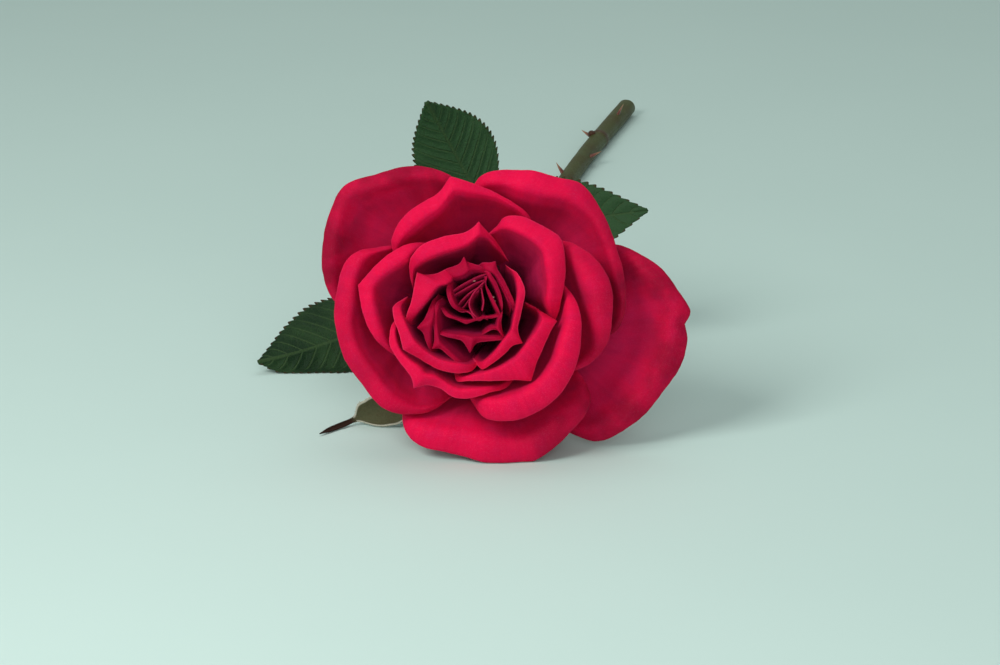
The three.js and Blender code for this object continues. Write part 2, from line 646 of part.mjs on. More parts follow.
const LEAVES = [
  {
    name: "leaf_left",
    rachis: [[-1.7, 60, 12], [-5, 59.4, 13.4], [-10.5, 58.7, 13.4], [-16.8, 57.9, 10.6]],
    leaflets: [
      { base: [-16.2, 58, 10.9], tip: [-45, 50, 2.6], across: [0.1, 0.65, 0.7], halfWidth: 10.2 },
      { base: [-13.5, 56.5, 14.5], tip: [-26, 42, 20], across: [0.6, -0.2, 0.7], halfWidth: 7 },
      { base: [-13.5, 57, 14.5], tip: [-26, 74, 10], across: [0.8, 0.3, 0.6], halfWidth: 7 },
      { base: [-7, 58.3, 14.2], tip: [-12, 44, 22], across: [0.8, -0.1, 0.5], halfWidth: 5.4 },
      { base: [-7, 58.5, 14.2], tip: [-14, 74, 14], across: [0.9, 0.3, 0.4], halfWidth: 5.4 },
    ],
  },
  {
    name: "leaf_upper",
    rachis: [[2.2, 79.3, 9.4], [2, 76.5, 16], [1.4, 73, 22.4], [0.5, 69.6, 29.4]],
    leaflets: [
      { base: [0.8, 69.8, 28.8], tip: [-11, 64.4, 53], across: [0.85, 0.1, 0.5], halfWidth: 8.4 },
      { base: [1.2, 72.6, 22.5], tip: [33.6, 64, 30.4], across: [0.1, 0.3, 0.95], halfWidth: 9.2 },
      { base: [1.2, 72.6, 22.5], tip: [-27, 69, 30.4], across: [0.2, 0.35, 0.9], halfWidth: 7.6 },
    ],
  },
];

for (const { name, rachis, leaflets } of LEAVES) {
  const parts = [limb(rachis, RACHIS_RADII, RACHIS_SIDES, RACHIS_STEPS), ...leaflets.map(leaflet)];
  add(rose, name, restOnSurface(joined(parts), rose), DARK_GREEN, 0.6);
}

export default flower;
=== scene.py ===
"""A picked garden rose lying on its side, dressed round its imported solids.

The bloom is made petal by petal from the same rims as the solids, in its own frame: u right, v up
and w along its axis towards the viewer, in millimetres from its heart. The stem and the leaves are
made in the row frame, also in millimetres, before the middle of the flower is put on the origin.
"""

import logging
import math
from dataclasses import dataclass, field
from enum import Enum

import bpy
import numpy as np
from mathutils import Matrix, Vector


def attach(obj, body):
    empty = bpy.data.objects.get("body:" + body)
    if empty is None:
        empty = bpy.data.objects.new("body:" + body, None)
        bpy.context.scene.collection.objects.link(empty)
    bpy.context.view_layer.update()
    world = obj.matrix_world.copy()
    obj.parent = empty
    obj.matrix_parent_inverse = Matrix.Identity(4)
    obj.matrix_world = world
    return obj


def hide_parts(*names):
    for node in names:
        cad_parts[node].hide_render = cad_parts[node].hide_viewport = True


LOG = logging.getLogger("rose")
MM = 0.001
GOLDEN_TURN = math.radians(137.5)
VIEW_ELEVATION = math.radians(18.0)
HEART_PLACE = (2.4, -122.5)
HEART_HEIGHT = 30.6
SPIKE_ASIDE = (0.31, 0.72, 0.62)
SPIKE_MIDDLE = 0.6
Array = np.ndarray
Colour = tuple[float, float, float]
Point = tuple[float, float, float]
Rim = list[tuple[float, float, float, float]]
Station = tuple[float, float, float, float]
Material = bpy.types.Material
Socket = bpy.types.NodeSocket

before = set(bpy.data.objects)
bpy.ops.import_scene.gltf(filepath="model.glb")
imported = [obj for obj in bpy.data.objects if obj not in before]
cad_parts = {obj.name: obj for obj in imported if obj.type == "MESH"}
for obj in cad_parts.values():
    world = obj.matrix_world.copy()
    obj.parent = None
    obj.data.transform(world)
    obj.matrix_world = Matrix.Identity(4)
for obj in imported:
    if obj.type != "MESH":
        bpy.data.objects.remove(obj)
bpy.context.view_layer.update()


class Slot(Enum):
    """Names of the material slots."""

    PETAL = "petal"
    PETALOID = "petaloid"
    CALYX = "calyx"
    STEM = "stem"
    LEAF = "leaf"


class Blend(Enum):
    """The ways in which one colour goes over another."""

    COVER = "MIX"
    DARKEN = "MULTIPLY"
    LIGHTEN = "SCREEN"


# Helpers for numbers


def lerp(low: Array | float, high: Array | float, share: Array | float) -> Array | float:
    """Returns the value that lies that share of the way from low to high."""
    return low + (high - low) * share


def ease(share: Array | float) -> Array | float:
    """Returns a share from 0 to 1 with a soft start and end."""
    share = np.clip(share, 0.0, 1.0)
    return share * share * (3.0 - 2.0 * share)


def hump(distance: Array | float, width: Array | float) -> Array | float:
    """Returns 1 at no distance, falling softly to almost 0 at twice the width."""
    return np.exp(-((distance / width) ** 2))


def unit(vectors: Array) -> Array:
    """Returns vectors of length 1 along the last axis."""
    return vectors / np.maximum(np.linalg.norm(vectors, axis=-1, keepdims=True), 1e-9)


def turns(sides: int) -> Array:
    """Returns the angles of that many even steps round a circle."""
    return 2 * math.pi * np.arange(sides) / sides


def by_layer(layer: float, sizes: tuple[float, float], layers: tuple[float, float]) -> float:
    """A size that goes over from the inner petals to the outer ones.

    Args:
        layer: the petal's layer.
        sizes: the size of the inner and of the outer ones.
        layers: the layers between which it changes.

    Returns:
        The petal's size.
    """
    low, high = layers
    return lerp(*sizes, ease((layer - low) / (high - low)))


def run_along(line: Array) -> Array:
    """Returns how far along a line each of its points is."""
    return np.concatenate([[0.0], np.cumsum(np.linalg.norm(np.diff(line, axis=0), axis=1))])


def axis_line(depths: Array) -> Array:
    """Returns points on the bloom's axis at those depths."""
    return np.stack([np.zeros(len(depths)), np.zeros(len(depths)), depths], axis=1)


def smoothed(values: Array, rounds: int) -> Array:
    """Averages each value with its neighbours along the first axis; the two ends stay.

    Args:
        values: the values.
        rounds: how many times they are averaged.

    Returns:
        The smoother values.
    """
    soft = values.copy()
    for _ in range(rounds):
        soft[1:-1] = (soft[:-2] + 2 * soft[1:-1] + soft[2:]) / 4
    return soft


def spline_stretch(knots: tuple[Array, ...] | Array, steps: Array, shortest: float = 0.0) -> Array:
    """Points on the middle stretch of a centripetal spline.

    Args:
        knots: its four knots; the first three numbers of each are its place.
        steps: shares of the way from the second knot to the third.
        shortest: the least distance that two knots are taken to have.

    Returns:
        One point for each step.
    """
    p0, p1, p2, p3 = knots
    d0, d1, d2 = (
        max(np.linalg.norm((b - a)[:3]), shortest) ** 0.5 for a, b in ((p0, p1), (p1, p2), (p2, p3))
    )
    t1 = ((p1 - p0) / d0 - (p2 - p0) / (d0 + d1) + (p2 - p1) / d1) * d1
    t2 = ((p2 - p1) / d1 - (p3 - p1) / (d1 + d2) + (p3 - p2) / d2) * d1
    t = steps[:, None]
    return p1 + t1 * t + (3 * (p2 - p1) - 2 * t1 - t2) * t**2 + (2 * (p1 - p2) + t1 + t2) * t**3


@dataclass(frozen=True)
class Ripple:
    """A smooth seeded wave: a few sines of rising pitch and falling height."""

    seed: int
    pitch: float
    octaves: int = 3

    PITCH_RISE = 1.9
    HEIGHT_FALL = 1.7

    def at(self, place: Array) -> Array:
        """The wave's height, about -1 to 1.

        Args:
            place: where to read it, in units in which pitch is radians.

        Returns:
            One height for each place.
        """
        draw = np.random.default_rng(self.seed)
        height = np.zeros_like(place, dtype=float)
        for step in range(self.octaves):
            turn = draw.uniform(0.0, 2.0 * math.pi)
            stretch = draw.uniform(0.8, 1.25)
            pitch = self.pitch * stretch * self.PITCH_RISE**step
            height += np.sin(place * pitch + turn) / self.HEIGHT_FALL**step
        return height / self.HEIGHT_FALL


@dataclass(frozen=True)
class Curve:
    """A centripetal spline through points, as the solids of the stem and leaves follow it."""

    points: tuple[Point, ...]

    STEPS_A_STRETCH = 60

    def samples(self, count: int) -> Array:
        """Points evenly spaced along the curve.

        Args:
            count: how many, both ends included.

        Returns:
            An array of count points.
        """
        knots = np.array(self.points, float)
        knots = np.vstack([2 * knots[0] - knots[1], knots, 2 * knots[-1] - knots[-2]])
        steps = np.linspace(0.0, 1.0, self.STEPS_A_STRETCH)
        line = np.vstack([spline_stretch(knots[i : i + 4], steps) for i in range(len(knots) - 3)])
        run = run_along(line)
        even = np.linspace(0.0, run[-1], count)
        return np.stack([np.interp(even, run, line[:, k]) for k in range(3)], axis=1)


def row_frame(points: Array, rest: float = 0.0, give: float = 0.0) -> Array:
    """Puts the middle of the flower on the origin and lays what would sink onto the surface.

    Args:
        points: millimetres, as the stem and leaves are laid out.
        rest: the lowest height that a point may have.
        give: how softly the points bend to it.

    Returns:
        The points in the row frame, in millimetres.
    """
    placed = points + np.array([*HEART_PLACE, 0.0])
    over = placed[..., 2] - rest
    placed[..., 2] = rest + (over + np.sqrt(over * over + give * give)) / 2
    return placed


@dataclass(frozen=True)
class BloomFrame:
    """Where the bloom looks and how high its heart stands."""

    tilt: float = VIEW_ELEVATION
    heart_height: float = HEART_HEIGHT

    def place(self, points: Array, rest: float = 0.0) -> Array:
        """Takes points of the bloom to the row frame.

        Args:
            points: (u, v, w) in millimetres.
            rest: the lowest height that a point may have; the points bend softly to it.

        Returns:
            The points in the row frame, in millimetres.
        """
        u, v, w = points[..., 0], points[..., 1], points[..., 2]
        s, c = math.sin(self.tilt), math.cos(self.tilt)
        turned = np.stack([u, s * v - c * w, c * v + s * w + self.heart_height], axis=-1)
        return row_frame(turned, rest, rest)


BLOOM = BloomFrame()


# Meshes


@dataclass
class Geometry:
    """Vertices in millimetres with faces, a finish number for each face and marks for each vertex."""

    vertices: Array
    faces: list[tuple[int, ...]]
    finish: list[int]
    marks: dict[str, Array] = field(default_factory=dict)

    @staticmethod
    def empty() -> "Geometry":
        """Returns a geometry with nothing in it."""
        return Geometry(np.zeros((0, 3)), [], [], {})

    def add(self, other: "Geometry", finish: int | None = None) -> None:
        """Takes in another geometry.

        Args:
            other: what to add.
            finish: the finish number for all its faces, or None to keep its own.
        """
        start = len(self.vertices)
        for name in sorted(set(self.marks) | set(other.marks)):
            mine = self.marks.get(name, np.zeros(start))
            theirs = other.marks.get(name, np.zeros(len(other.vertices)))
            self.marks[name] = np.concatenate([mine, theirs])
        self.vertices = np.vstack([self.vertices, other.vertices])
        self.faces.extend(tuple(start + i for i in face) for face in other.faces)
        self.finish.extend(other.finish if finish is None else [finish] * len(other.faces))

    def make(self, name: str, finishes: list[Material], slot: Slot, *nodes: str) -> bpy.types.Object:
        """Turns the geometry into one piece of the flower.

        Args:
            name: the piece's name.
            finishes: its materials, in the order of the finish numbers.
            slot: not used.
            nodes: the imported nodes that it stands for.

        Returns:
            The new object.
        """
        mesh = bpy.data.meshes.new(name)
        mesh.from_pydata((self.vertices * MM).tolist(), [], self.faces)
        mesh.polygons.foreach_set("material_index", self.finish)
        mesh.polygons.foreach_set("use_smooth", [True] * len(self.faces))
        for mark, values in self.marks.items():
            attribute = mesh.attributes.new(mark, "FLOAT", "POINT")
            attribute.data.foreach_set("value", values.astype(np.float32))
        for material in finishes:
            mesh.materials.append(material)
        mesh.validate()
        mesh.update()
        piece = bpy.data.objects.new(name, mesh)
        bpy.context.scene.collection.objects.link(piece)
        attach(piece, "root")
        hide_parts(*nodes)
        LOG.info("%s: %d faces", name, len(mesh.polygons))
        return piece


def sheet(grid: Array, thickness: Array, marks: dict[str, Array | float]) -> Geometry:
    """Closes a grid of points into a thin blade with a rounded edge all round.

    Args:
        grid: rows x columns x 3, the middle of the blade.
        thickness: rows x columns, or a shape that spreads to it.
        marks: values for each point of the grid, or one for all; both faces take them.

    Returns:
        The blade, with a mark named face: 1 on the side that columns x rows turn to, -1 behind.
    """
    rows, columns = grid.shape[:2]
    along, across = np.gradient(grid, axis=0), np.gradient(grid, axis=1)
    normal = unit(np.cross(along, across))
    half = np.broadcast_to(thickness, (rows, columns))[..., None] / 2
    front, back = grid + normal * half, grid - normal * half
    index = np.arange(rows * columns).reshape(rows, columns)
    a, b = index[:-1, :-1].ravel(), index[:-1, 1:].ravel()
    c, d = index[1:, 1:].ravel(), index[1:, :-1].ravel()
    size = rows * columns
    quads = np.concatenate([np.stack([a, d, c, b], 1), np.stack([a, b, c, d], 1) + size])
    loop = np.concatenate([index[0, :-1], index[:-1, -1], index[-1, :0:-1], index[:0:-1, 0]])
    outward = np.zeros_like(grid)
    outward[0] += unit(grid[0] - grid[1])
    outward[-1] += unit(grid[-1] - grid[-2])
    outward[:, 0] += unit(grid[:, 0] - grid[:, 1])
    outward[:, -1] += unit(grid[:, -1] - grid[:, -2])
    rim = grid.reshape(-1, 3)[loop] + unit(outward.reshape(-1, 3)[loop]) * half.reshape(-1, 1)[loop]
    ring = 2 * size + np.arange(len(loop))
    turn = np.roll(np.arange(len(loop)), -1)
    edge = np.concatenate(
        [
            np.stack([loop, loop[turn], ring[turn], ring], 1),
            np.stack([ring, ring[turn], loop[turn] + size, loop + size], 1),
        ]
    )
    vertices = np.concatenate([front.reshape(-1, 3), back.reshape(-1, 3), rim])
    spread = {name: np.broadcast_to(mark, (rows, columns)).ravel() for name, mark in marks.items()}
    values = {name: np.concatenate([mark, mark, mark[loop]]) for name, mark in spread.items()}
    values["face"] = np.concatenate([np.ones(size), -np.ones(size), np.zeros(len(loop))])
    faces = [tuple(q) for q in np.concatenate([quads, edge]).tolist()]
    return Geometry(vertices, faces, [0] * len(faces), values)


def tube(line: Array, radii: Array, sides: int, marks: dict[str, Array | float]) -> Geometry:
    """A closed round tube along a line.

    Args:
        line: the points of its centre.
        radii: rings x sides, or one radius for each ring.
        sides: how many sides it has.
        marks: one value for each ring, or one for all.

    Returns:
        The tube, with two marks: round, 0 to 1 about it, and cap, from 1 at the edge of an end to
        2 in its middle.
    """
    rings = len(line)
    radii = np.broadcast_to(np.asarray(radii).reshape(rings, -1), (rings, sides))
    tangent = unit(np.gradient(line, axis=0))
    side = unit(np.cross(tangent, [0.0, 0.0, 1.0] if abs(tangent[0, 2]) < 0.9 else [1.0, 0.0, 0.0]))
    up = np.cross(tangent, side)
    turn = turns(sides)
    wheel = side[:, None] * np.cos(turn)[:, None] + up[:, None] * np.sin(turn)[:, None]
    skin = (line[:, None] + wheel * radii[..., None]).reshape(-1, 3)
    index = np.arange(rings * sides).reshape(rings, sides)
    beside = np.roll(index, -1, axis=1)
    quads = np.stack([index[:-1], beside[:-1], beside[1:], index[1:]], -1).reshape(-1, 4)
    faces = [tuple(q) for q in quads.tolist()]
    spread = {name: np.broadcast_to(mark, rings) for name, mark in marks.items()}
    values = {name: np.repeat(mark, sides) for name, mark in spread.items()}
    values["round"] = np.tile(np.arange(sides) / sides, rings)
    values["cap"] = np.zeros(rings * sides)
    vertices = [skin]
    for ring, flip in ((0, True), (rings - 1, False)):
        start = rings * sides + (0 if ring == 0 else sides + 1)
        rim = start + np.arange(sides)
        vertices += [skin.reshape(rings, sides, 3)[ring], line[ring][None]]
        for i in range(sides):
            face = (int(rim[i]), int(rim[(i + 1) % sides]), int(start + sides))
            faces.append(face[::-1] if flip else face)
        join = [(int(index[ring, i]), int(rim[i])) for i in range(sides)]
        for i in range(sides):
            (p, q), (r, s) = join[i], join[(i + 1) % sides]
            faces.append((p, q, s, r) if flip else (q, p, r, s))
        for name, mark in spread.items():
            values[name] = np.concatenate([values[name], np.full(sides + 1, mark[ring])])
        values["round"] = np.concatenate([values["round"], np.arange(sides) / sides, [0.0]])
        values["cap"] = np.concatenate([values["cap"], np.ones(sides), [2.0]])
    return Geometry(np.vstack(vertices), faces, [0] * len(faces), values)


def spike(root: Array, tip: Array, width: float, sides: int = 3, bend: Array | None = None) -> Geometry:
    """A slim closed hair or thorn from its root to its tip.

    Args:
        root: the middle of its foot.
        tip: its point.
        width: the radius of its foot.
        sides: how many sides it has.
        bend: how far its middle is pushed aside, if it is bent.

    Returns:
        The spike, with a mark named tipward: 0 at its foot and 1 at its point.
    """
    axis = unit(tip - root)
    side = unit(np.cross(axis, SPIKE_ASIDE))
    up = np.cross(axis, side)
    turn = turns(sides)
    wheel = np.outer(np.cos(turn), side) + np.outer(np.sin(turn), up)
    middle = (root + tip) / 2 + (0.0 if bend is None else bend)
    vertices = np.vstack([root + wheel * width, middle + wheel * width * SPIKE_MIDDLE, tip[None]])
    faces: list[tuple[int, ...]] = [tuple(range(sides))[::-1]]
    for i in range(sides):
        j = (i + 1) % sides
        faces.append((i, j, sides + j, sides + i))
        faces.append((sides + i, sides + j, 2 * sides))
    share = np.concatenate([np.zeros(sides), np.full(sides, 0.5), [1.0]])
    return Geometry(vertices, faces, [0] * len(faces), {"tipward": share})


# Finishes


class Shader:
    """Lays out the nodes of one finish round a principled surface."""

    def __init__(self, name: str, roughness: float, gloss: float) -> None:
        """Starts a material.

        Args:
            name: the material's name.
            roughness: how matte the surface is.
            gloss: the strength of its reflections.
        """
        self.material = bpy.data.materials.new(name)
        self.material.use_nodes = True
        self.tree = self.material.node_tree
        self.surface = self.tree.nodes["Principled BSDF"]
        self.fix("Roughness", roughness)
        self.fix("Specular IOR Level", gloss)

    def fix(self, socket: str, value: object) -> None:
        """Gives one of the surface's own sockets its value."""
        self.feed(self.surface.inputs[socket], value)

    def node(self, kind: str, **settings: object) -> bpy.types.Node:
        """Adds a node.

        Args:
            kind: its kind.
            settings: the node's own settings.

        Returns:
            The new node.
        """
        made = self.tree.nodes.new(kind)
        for name, value in settings.items():
            setattr(made, name, value)
        return made

    def feed(self, socket: Socket, value: object) -> None:
        """Gives a socket its value.

        Args:
            socket: the socket.
            value: another socket, a number or a colour.
        """
        if isinstance(value, Socket):
            self.tree.links.new(value, socket)
        elif isinstance(value, tuple):
            socket.default_value = (*value, 1.0) if len(socket.default_value) == 4 else value
        else:
            socket.default_value = value

    def mark(self, name: str) -> Socket:
        """Reads one of the mesh's marks."""
        return self.node("ShaderNodeAttribute", attribute_name=name).outputs["Fac"]

    def place(self) -> Socket:
        """Reads the place on the object, in metres."""
        return self.node("ShaderNodeTexCoord").outputs["Object"]

    def vector(self, *values: object) -> Socket:
        """Joins three values into a vector.

        Args:
            values: sockets or numbers.

        Returns:
            The vector.
        """
        made = self.node("ShaderNodeCombineXYZ")
        for socket, value in zip(made.inputs, values):
            self.feed(socket, value)
        return made.outputs[0]

    def math(self, kind: str, first: object, second: object = 0.0) -> Socket:
        """Works one sum.

        Args:
            kind: the kind of sum.
            first: the first value.
            second: the second value, if the sum takes two.

        Returns:
            The result.
        """
        made = self.node("ShaderNodeMath", operation=kind)
        self.feed(made.inputs[0], first)
        self.feed(made.inputs[1], second)
        return made.outputs[0]

    def texture(self, kind: str, place: object, scale: float, output: str, **settings: object) -> Socket:
        """Reads a procedural texture.

        Args:
            kind: its kind of node.
            place: where it is read.
            scale: how often it repeats in a unit of place.
            output: the name of the output that is read.
            settings: the node's own settings.

        Returns:
            The output.
        """
        made = self.node(kind, **settings)
        self.feed(made.inputs["Vector"], place)
        made.inputs["Scale"].default_value = scale
        return made.outputs[output]

    def noise(self, place: object, scale: float, detail: float = 4.0) -> Socket:
        """Reads a cloud of noise.

        Args:
            place: where it is read.
            scale: how often it repeats in a unit of place.
            detail: how many finer layers it has.

        Returns:
            The cloud, 0 to 1.
        """
        cloud = self.texture("ShaderNodeTexNoise", place, scale, "Fac")
        cloud.node.inputs["Detail"].default_value = detail
        return cloud

    def cells(self, place: object, scale: float) -> Socket:
        """Reads the distance to the edges of small cells."""
        return self.texture("ShaderNodeTexVoronoi", place, scale, "Distance", feature="DISTANCE_TO_EDGE")

    def spots(self, place: object, scale: float) -> Socket:
        """Reads the distance to the middles of scattered spots."""
        return self.texture("ShaderNodeTexVoronoi", place, scale, "Distance", feature="F1")

    def span(self, value: object, low: float, high: float, start: float = 0.0, end: float = 1.0) -> Socket:
        """Takes a stretch of a value softly to another, and holds it past both ends.

        Args:
            value: the value.
            low: where the stretch starts.
            high: where it ends.
            start: what low becomes.
            end: what high becomes.

        Returns:
            The new value.
        """
        made = self.node("ShaderNodeMapRange", clamp=True, interpolation_type="SMOOTHSTEP")
        self.feed(made.inputs[0], value)
        for socket, number in zip(made.inputs[1:5], (low, high, start, end)):
            socket.default_value = number
        return made.outputs[0]

    def ramp(self, value: object, stops: tuple[tuple[float, Colour], ...]) -> Socket:
        """Turns a value into a colour.

        Args:
            value: the value, 0 to 1.
            stops: the values that have a colour of their own, with that colour.

        Returns:
            The colour.
        """
        made = self.node("ShaderNodeValToRGB")
        self.feed(made.inputs[0], value)
        points = made.color_ramp.elements
        for i, (place, colour) in enumerate(stops):
            point = points[i] if i < len(points) else points.new(place)
            point.position = place
            point.color = (*colour, 1.0)
        return made.outputs[0]

    def mix(self, share: object, under: object, over: object, blend: Blend = Blend.COVER) -> Socket:
        """Lays one colour over another.

        Args:
            share: how much of it is laid, 0 to 1.
            under: the colour below.
            over: the colour on top.
            blend: the way in which it goes over.

        Returns:
            The mixed colour.
        """
        made = self.node("ShaderNodeMix", data_type="RGBA", blend_type=blend.value)
        self.feed(made.inputs[0], share)
        self.feed(made.inputs[6], under)
        self.feed(made.inputs[7], over)
        return made.outputs[2]

    def darkened(
        self, colour: object, value: object, low: float, high: float, share: float, tint: Colour
    ) -> Socket:
        """Darkens a colour where a value is high.

        Args:
            colour: the colour.
            value: the value that decides.
            low: where the darkening starts.
            high: where it is full.
            share: how much of the tint a full darkening has.
            tint: what the colour is multiplied by.

        Returns:
            The darkened colour.
        """
        return self.mix(self.span(value, low, high, 0.0, share), colour, tint, Blend.DARKEN)

    def soak(self, weight: float, radius: Colour, depth: float) -> None:
        """Lets light into the surface.

        Args:
            weight: the share of the light that goes in.
            radius: how far red, green and blue go, beside each other.
            depth: how far that is, in metres.
        """
        self.fix("Subsurface Weight", weight)
        self.fix("Subsurface Radius", radius)
        self.fix("Subsurface Scale", depth)

    def relief(self, layers: list[tuple[object, float, float]]) -> None:
        """Raises the surface by several heights.

        Args:
            layers: for each one its height, strength and depth in metres.
        """
        normal = None
        for height, strength, depth in layers:
            made = self.node("ShaderNodeBump")
            made.inputs["Strength"].default_value = strength
            made.inputs["Distance"].default_value = depth
            self.feed(made.inputs["Height"], height)
            if normal is not None:
                self.feed(made.inputs["Normal"], normal)
            normal = made.outputs[0]
        self.fix("Normal", normal)


@dataclass(frozen=True)
class PetalFinish:
    """Velvety red petal, vivid on the lip and dull behind, with painted shade into the hollow and at the
    claw.

    Its tints are multiplied into the colour, but the velvet's, which lightens it.
    """

    name: str = "petal_velvet"
    roughness: float = 0.62
    gloss: float = 0.045
    # Painted shade: a dark red-brown for the pale claw, which lies unlit low in the bloom.
    claw: Colour = (0.14, 0.03, 0.02)
    # Painted shade: these two colours darken the wall with distance below the crest, into the hollow.
    hollow: Colour = (0.24, 0.008, 0.045)
    deep_shade: Colour = (0.7, 0.018, 0.12)
    wall: Colour = (0.78, 0.018, 0.115)
    crest: Colour = (0.76, 0.008, 0.08)
    lip: Colour = (0.76, 0.003, 0.056)
    # Painted highlight: a bright line along the thin edges.
    edge_highlight: Colour = (0.9, 0.04, 0.13)
    behind: Colour = (0.56, 0.014, 0.075)
    streak_tint: Colour = (0.6, 0.45, 0.6)
    mottle_tint: Colour = (0.66, 0.5, 0.7)
    velvet_tint: Colour = (0.9, 0.2, 0.4)
    # Painted shade, laid in blotches towards the chosen ends of a petal's rim.
    side_shade_tint: Colour = (0.42, 0.8, 0.5)
    shade_tint: Colour = (0.3, 0.2, 0.36)
    streaks_across: float = 30.0
    streaks_along: float = 2.5
    mottle_scale: float = 300.0
    grain_scale: float = 5200.0
    patch_scale: float = 120.0

    def front(self, shader: Shader, mottle: Socket) -> Socket:
        """The upper face's colour, from the lip down into the hollow, darkened there with painted shade.

        Args:
            shader: the finish's nodes.
            mottle: the cloud that makes its steps uneven.

        Returns:
            The colour.
        """
        depth = shader.math("ADD", shader.mark("depth"), shader.span(mottle, 0.2, 0.8, -0.08, 0.08))
        stops = (
            (0.0, self.lip), (0.14, self.crest), (0.42, self.wall), (0.72, self.deep_shade), (1.0, self.hollow),
        )
        return shader.ramp(depth, stops)

    def build(self) -> Material:
        """Returns the material."""
        shader = Shader(self.name, self.roughness, self.gloss)
        place, reach = shader.place(), shader.mark("reach")
        streak_place = shader.vector(
            shader.math("MULTIPLY", shader.mark("across"), self.streaks_across),
            shader.math("MULTIPLY", reach, self.streaks_along),
            shader.mark("tone"),
        )
        streaks = shader.noise(streak_place, 1.0, 5.0)
        mottle = shader.noise(place, self.mottle_scale, 5.0)
        grain = shader.noise(place, self.grain_scale, 2.0)
        # Painted shade: both faces go over to the dark claw colour near the claw.
        front = shader.mix(shader.span(reach, 0.05, 0.16, 1.0, 0.0), self.front(shader, mottle), self.claw)
        behind = shader.mix(shader.span(reach, 0.06, 0.25), self.claw, self.behind)
        colour = shader.mix(shader.span(shader.mark("face"), -0.2, 0.2), behind, front)
        streaked = shader.span(streaks, 0.35, 0.7, 0.16, 0.0)
        colour = shader.mix(streaked, colour, self.streak_tint, Blend.DARKEN)
        colour = shader.darkened(colour, mottle, 0.35, 0.75, 0.35, self.mottle_tint)
        velvet = shader.span(grain, 0.45, 0.8, 0.0, 0.08)
        colour = shader.mix(velvet, colour, self.velvet_tint, Blend.LIGHTEN)
        # Painted highlight: a bright line along the thin edges, by its mark.
        by_edge = shader.span(shader.mark("edge"), 0.0, 0.34, 1.0, 0.0)
        thin = shader.math("MULTIPLY", by_edge, shader.mark("thin"))
        colour = shader.mix(thin, colour, self.edge_highlight)
        # Painted shade in blotches, by its mark.
        patches = shader.span(shader.noise(place, self.patch_scale, 5.0), 0.35, 0.65, 0.45, 1.25)
        age = shader.math("MULTIPLY", shader.mark("age"), patches)
        colour = shader.mix(age, colour, self.side_shade_tint, Blend.DARKEN)
        colour = shader.mix(shader.mark("shade"), colour, self.shade_tint, Blend.DARKEN)
        shader.fix("Base Color", colour)
        shader.fix("Roughness", shader.span(mottle, 0.2, 0.8, 0.56, 0.74))
        shader.fix("Sheen Weight", 0.04)
        shader.fix("Sheen Roughness", 0.5)
        shader.fix("Sheen Tint", (1.0, 0.12, 0.3))
        shader.soak(0.06, (1.0, 0.05, 0.12), 0.0014)
        shader.relief([(streaks, 0.03, 0.0003), (mottle, 0.16, 0.0004), (grain, 0.22, 0.00005)])
        return shader.material


@dataclass(frozen=True)
class LeafFinish:
    """Satin dark green leaf with a net of paler veins, pale below, red-brown on its teeth."""

    name: str = "leaf_green"
    roughness: float = 0.6
    gloss: float = 0.1
    blade: Colour = (0.009, 0.028, 0.011)
    fresh: Colour = (0.02, 0.05, 0.018)
    # Painted light: a lighter green laid over a leaf that gets less light.
    painted_light_colour: Colour = (0.034, 0.088, 0.034)
    vein: Colour = (0.045, 0.085, 0.03)
    below: Colour = (0.045, 0.08, 0.045)
    below_vein: Colour = (0.13, 0.19, 0.1)
    tooth: Colour = (0.07, 0.016, 0.012)
    net_scale: float = 900.0
    fine_net_scale: float = 2600.0
    cloud_scale: float = 160.0
    vein_strength: float = 0.62

    def veins(self, shader: Shader) -> Socket:
        """Draws the midrib and the lateral veins from the marks that follow them.

        Args:
            shader: the finish's nodes.

        Returns:
            How much of a vein each place is, 0 to 1.
        """
        away = shader.math("PINGPONG", shader.mark("course"), 0.5)
        off_vein = shader.math("MULTIPLY", away, shader.mark("pitch"))
        lateral = shader.math("MULTIPLY", shader.span(off_vein, 0.04, 0.26, 1.0, 0.0), shader.mark("vein"))
        return shader.math("MAXIMUM", lateral, shader.span(shader.mark("off_rib"), 0.1, 0.42, 1.0, 0.0))

    def build(self) -> Material:
        """Returns the material."""
        shader = Shader(self.name, self.roughness, self.gloss)
        place, vein = shader.place(), self.veins(shader)
        net, fine_net = shader.cells(place, self.net_scale), shader.cells(place, self.fine_net_scale)
        cloud = shader.noise(place, self.cloud_scale)
        colour = shader.mix(shader.span(cloud, 0.35, 0.7), self.blade, self.fresh)
        colour = shader.mix(shader.span(net, 0.0, 0.08, 0.16, 0.0), colour, self.vein)
        colour = shader.mix(shader.span(fine_net, 0.0, 0.12, 0.12, 0.0), colour, self.vein)
        # Painted light: lighter green over the whole leaf, by its mark.
        colour = shader.mix(shader.mark("youth"), colour, self.painted_light_colour)
        colour = shader.mix(shader.math("MULTIPLY", vein, self.vein_strength), colour, self.vein)
        wide_vein = shader.math("MULTIPLY", vein, 0.7)
        pale = shader.math("MAXIMUM", shader.span(net, 0.0, 0.1, 0.2, 0.0), wide_vein)
        below = shader.mix(pale, self.below, self.below_vein)
        colour = shader.mix(shader.span(shader.mark("face"), -0.2, 0.2), below, colour)
        colour = shader.mix(shader.span(shader.mark("tooth"), 0.4, 0.95, 0.0, 0.6), colour, self.tooth)
        shader.fix("Base Color", colour)
        shader.fix("Roughness", shader.span(cloud, 0.3, 0.7, 0.5, 0.66))
        shader.soak(0.06, (0.25, 0.6, 0.1), 0.001)
        sunk = shader.math("MULTIPLY", vein, shader.math("MULTIPLY", shader.mark("face"), -1.0))
        meshes, fine_meshes = shader.span(net, 0.0, 0.16), shader.span(fine_net, 0.0, 0.2)
        shader.relief([(sunk, 0.5, 0.00025), (meshes, 0.3, 0.0002), (fine_meshes, 0.25, 0.0001)])
        return shader.material


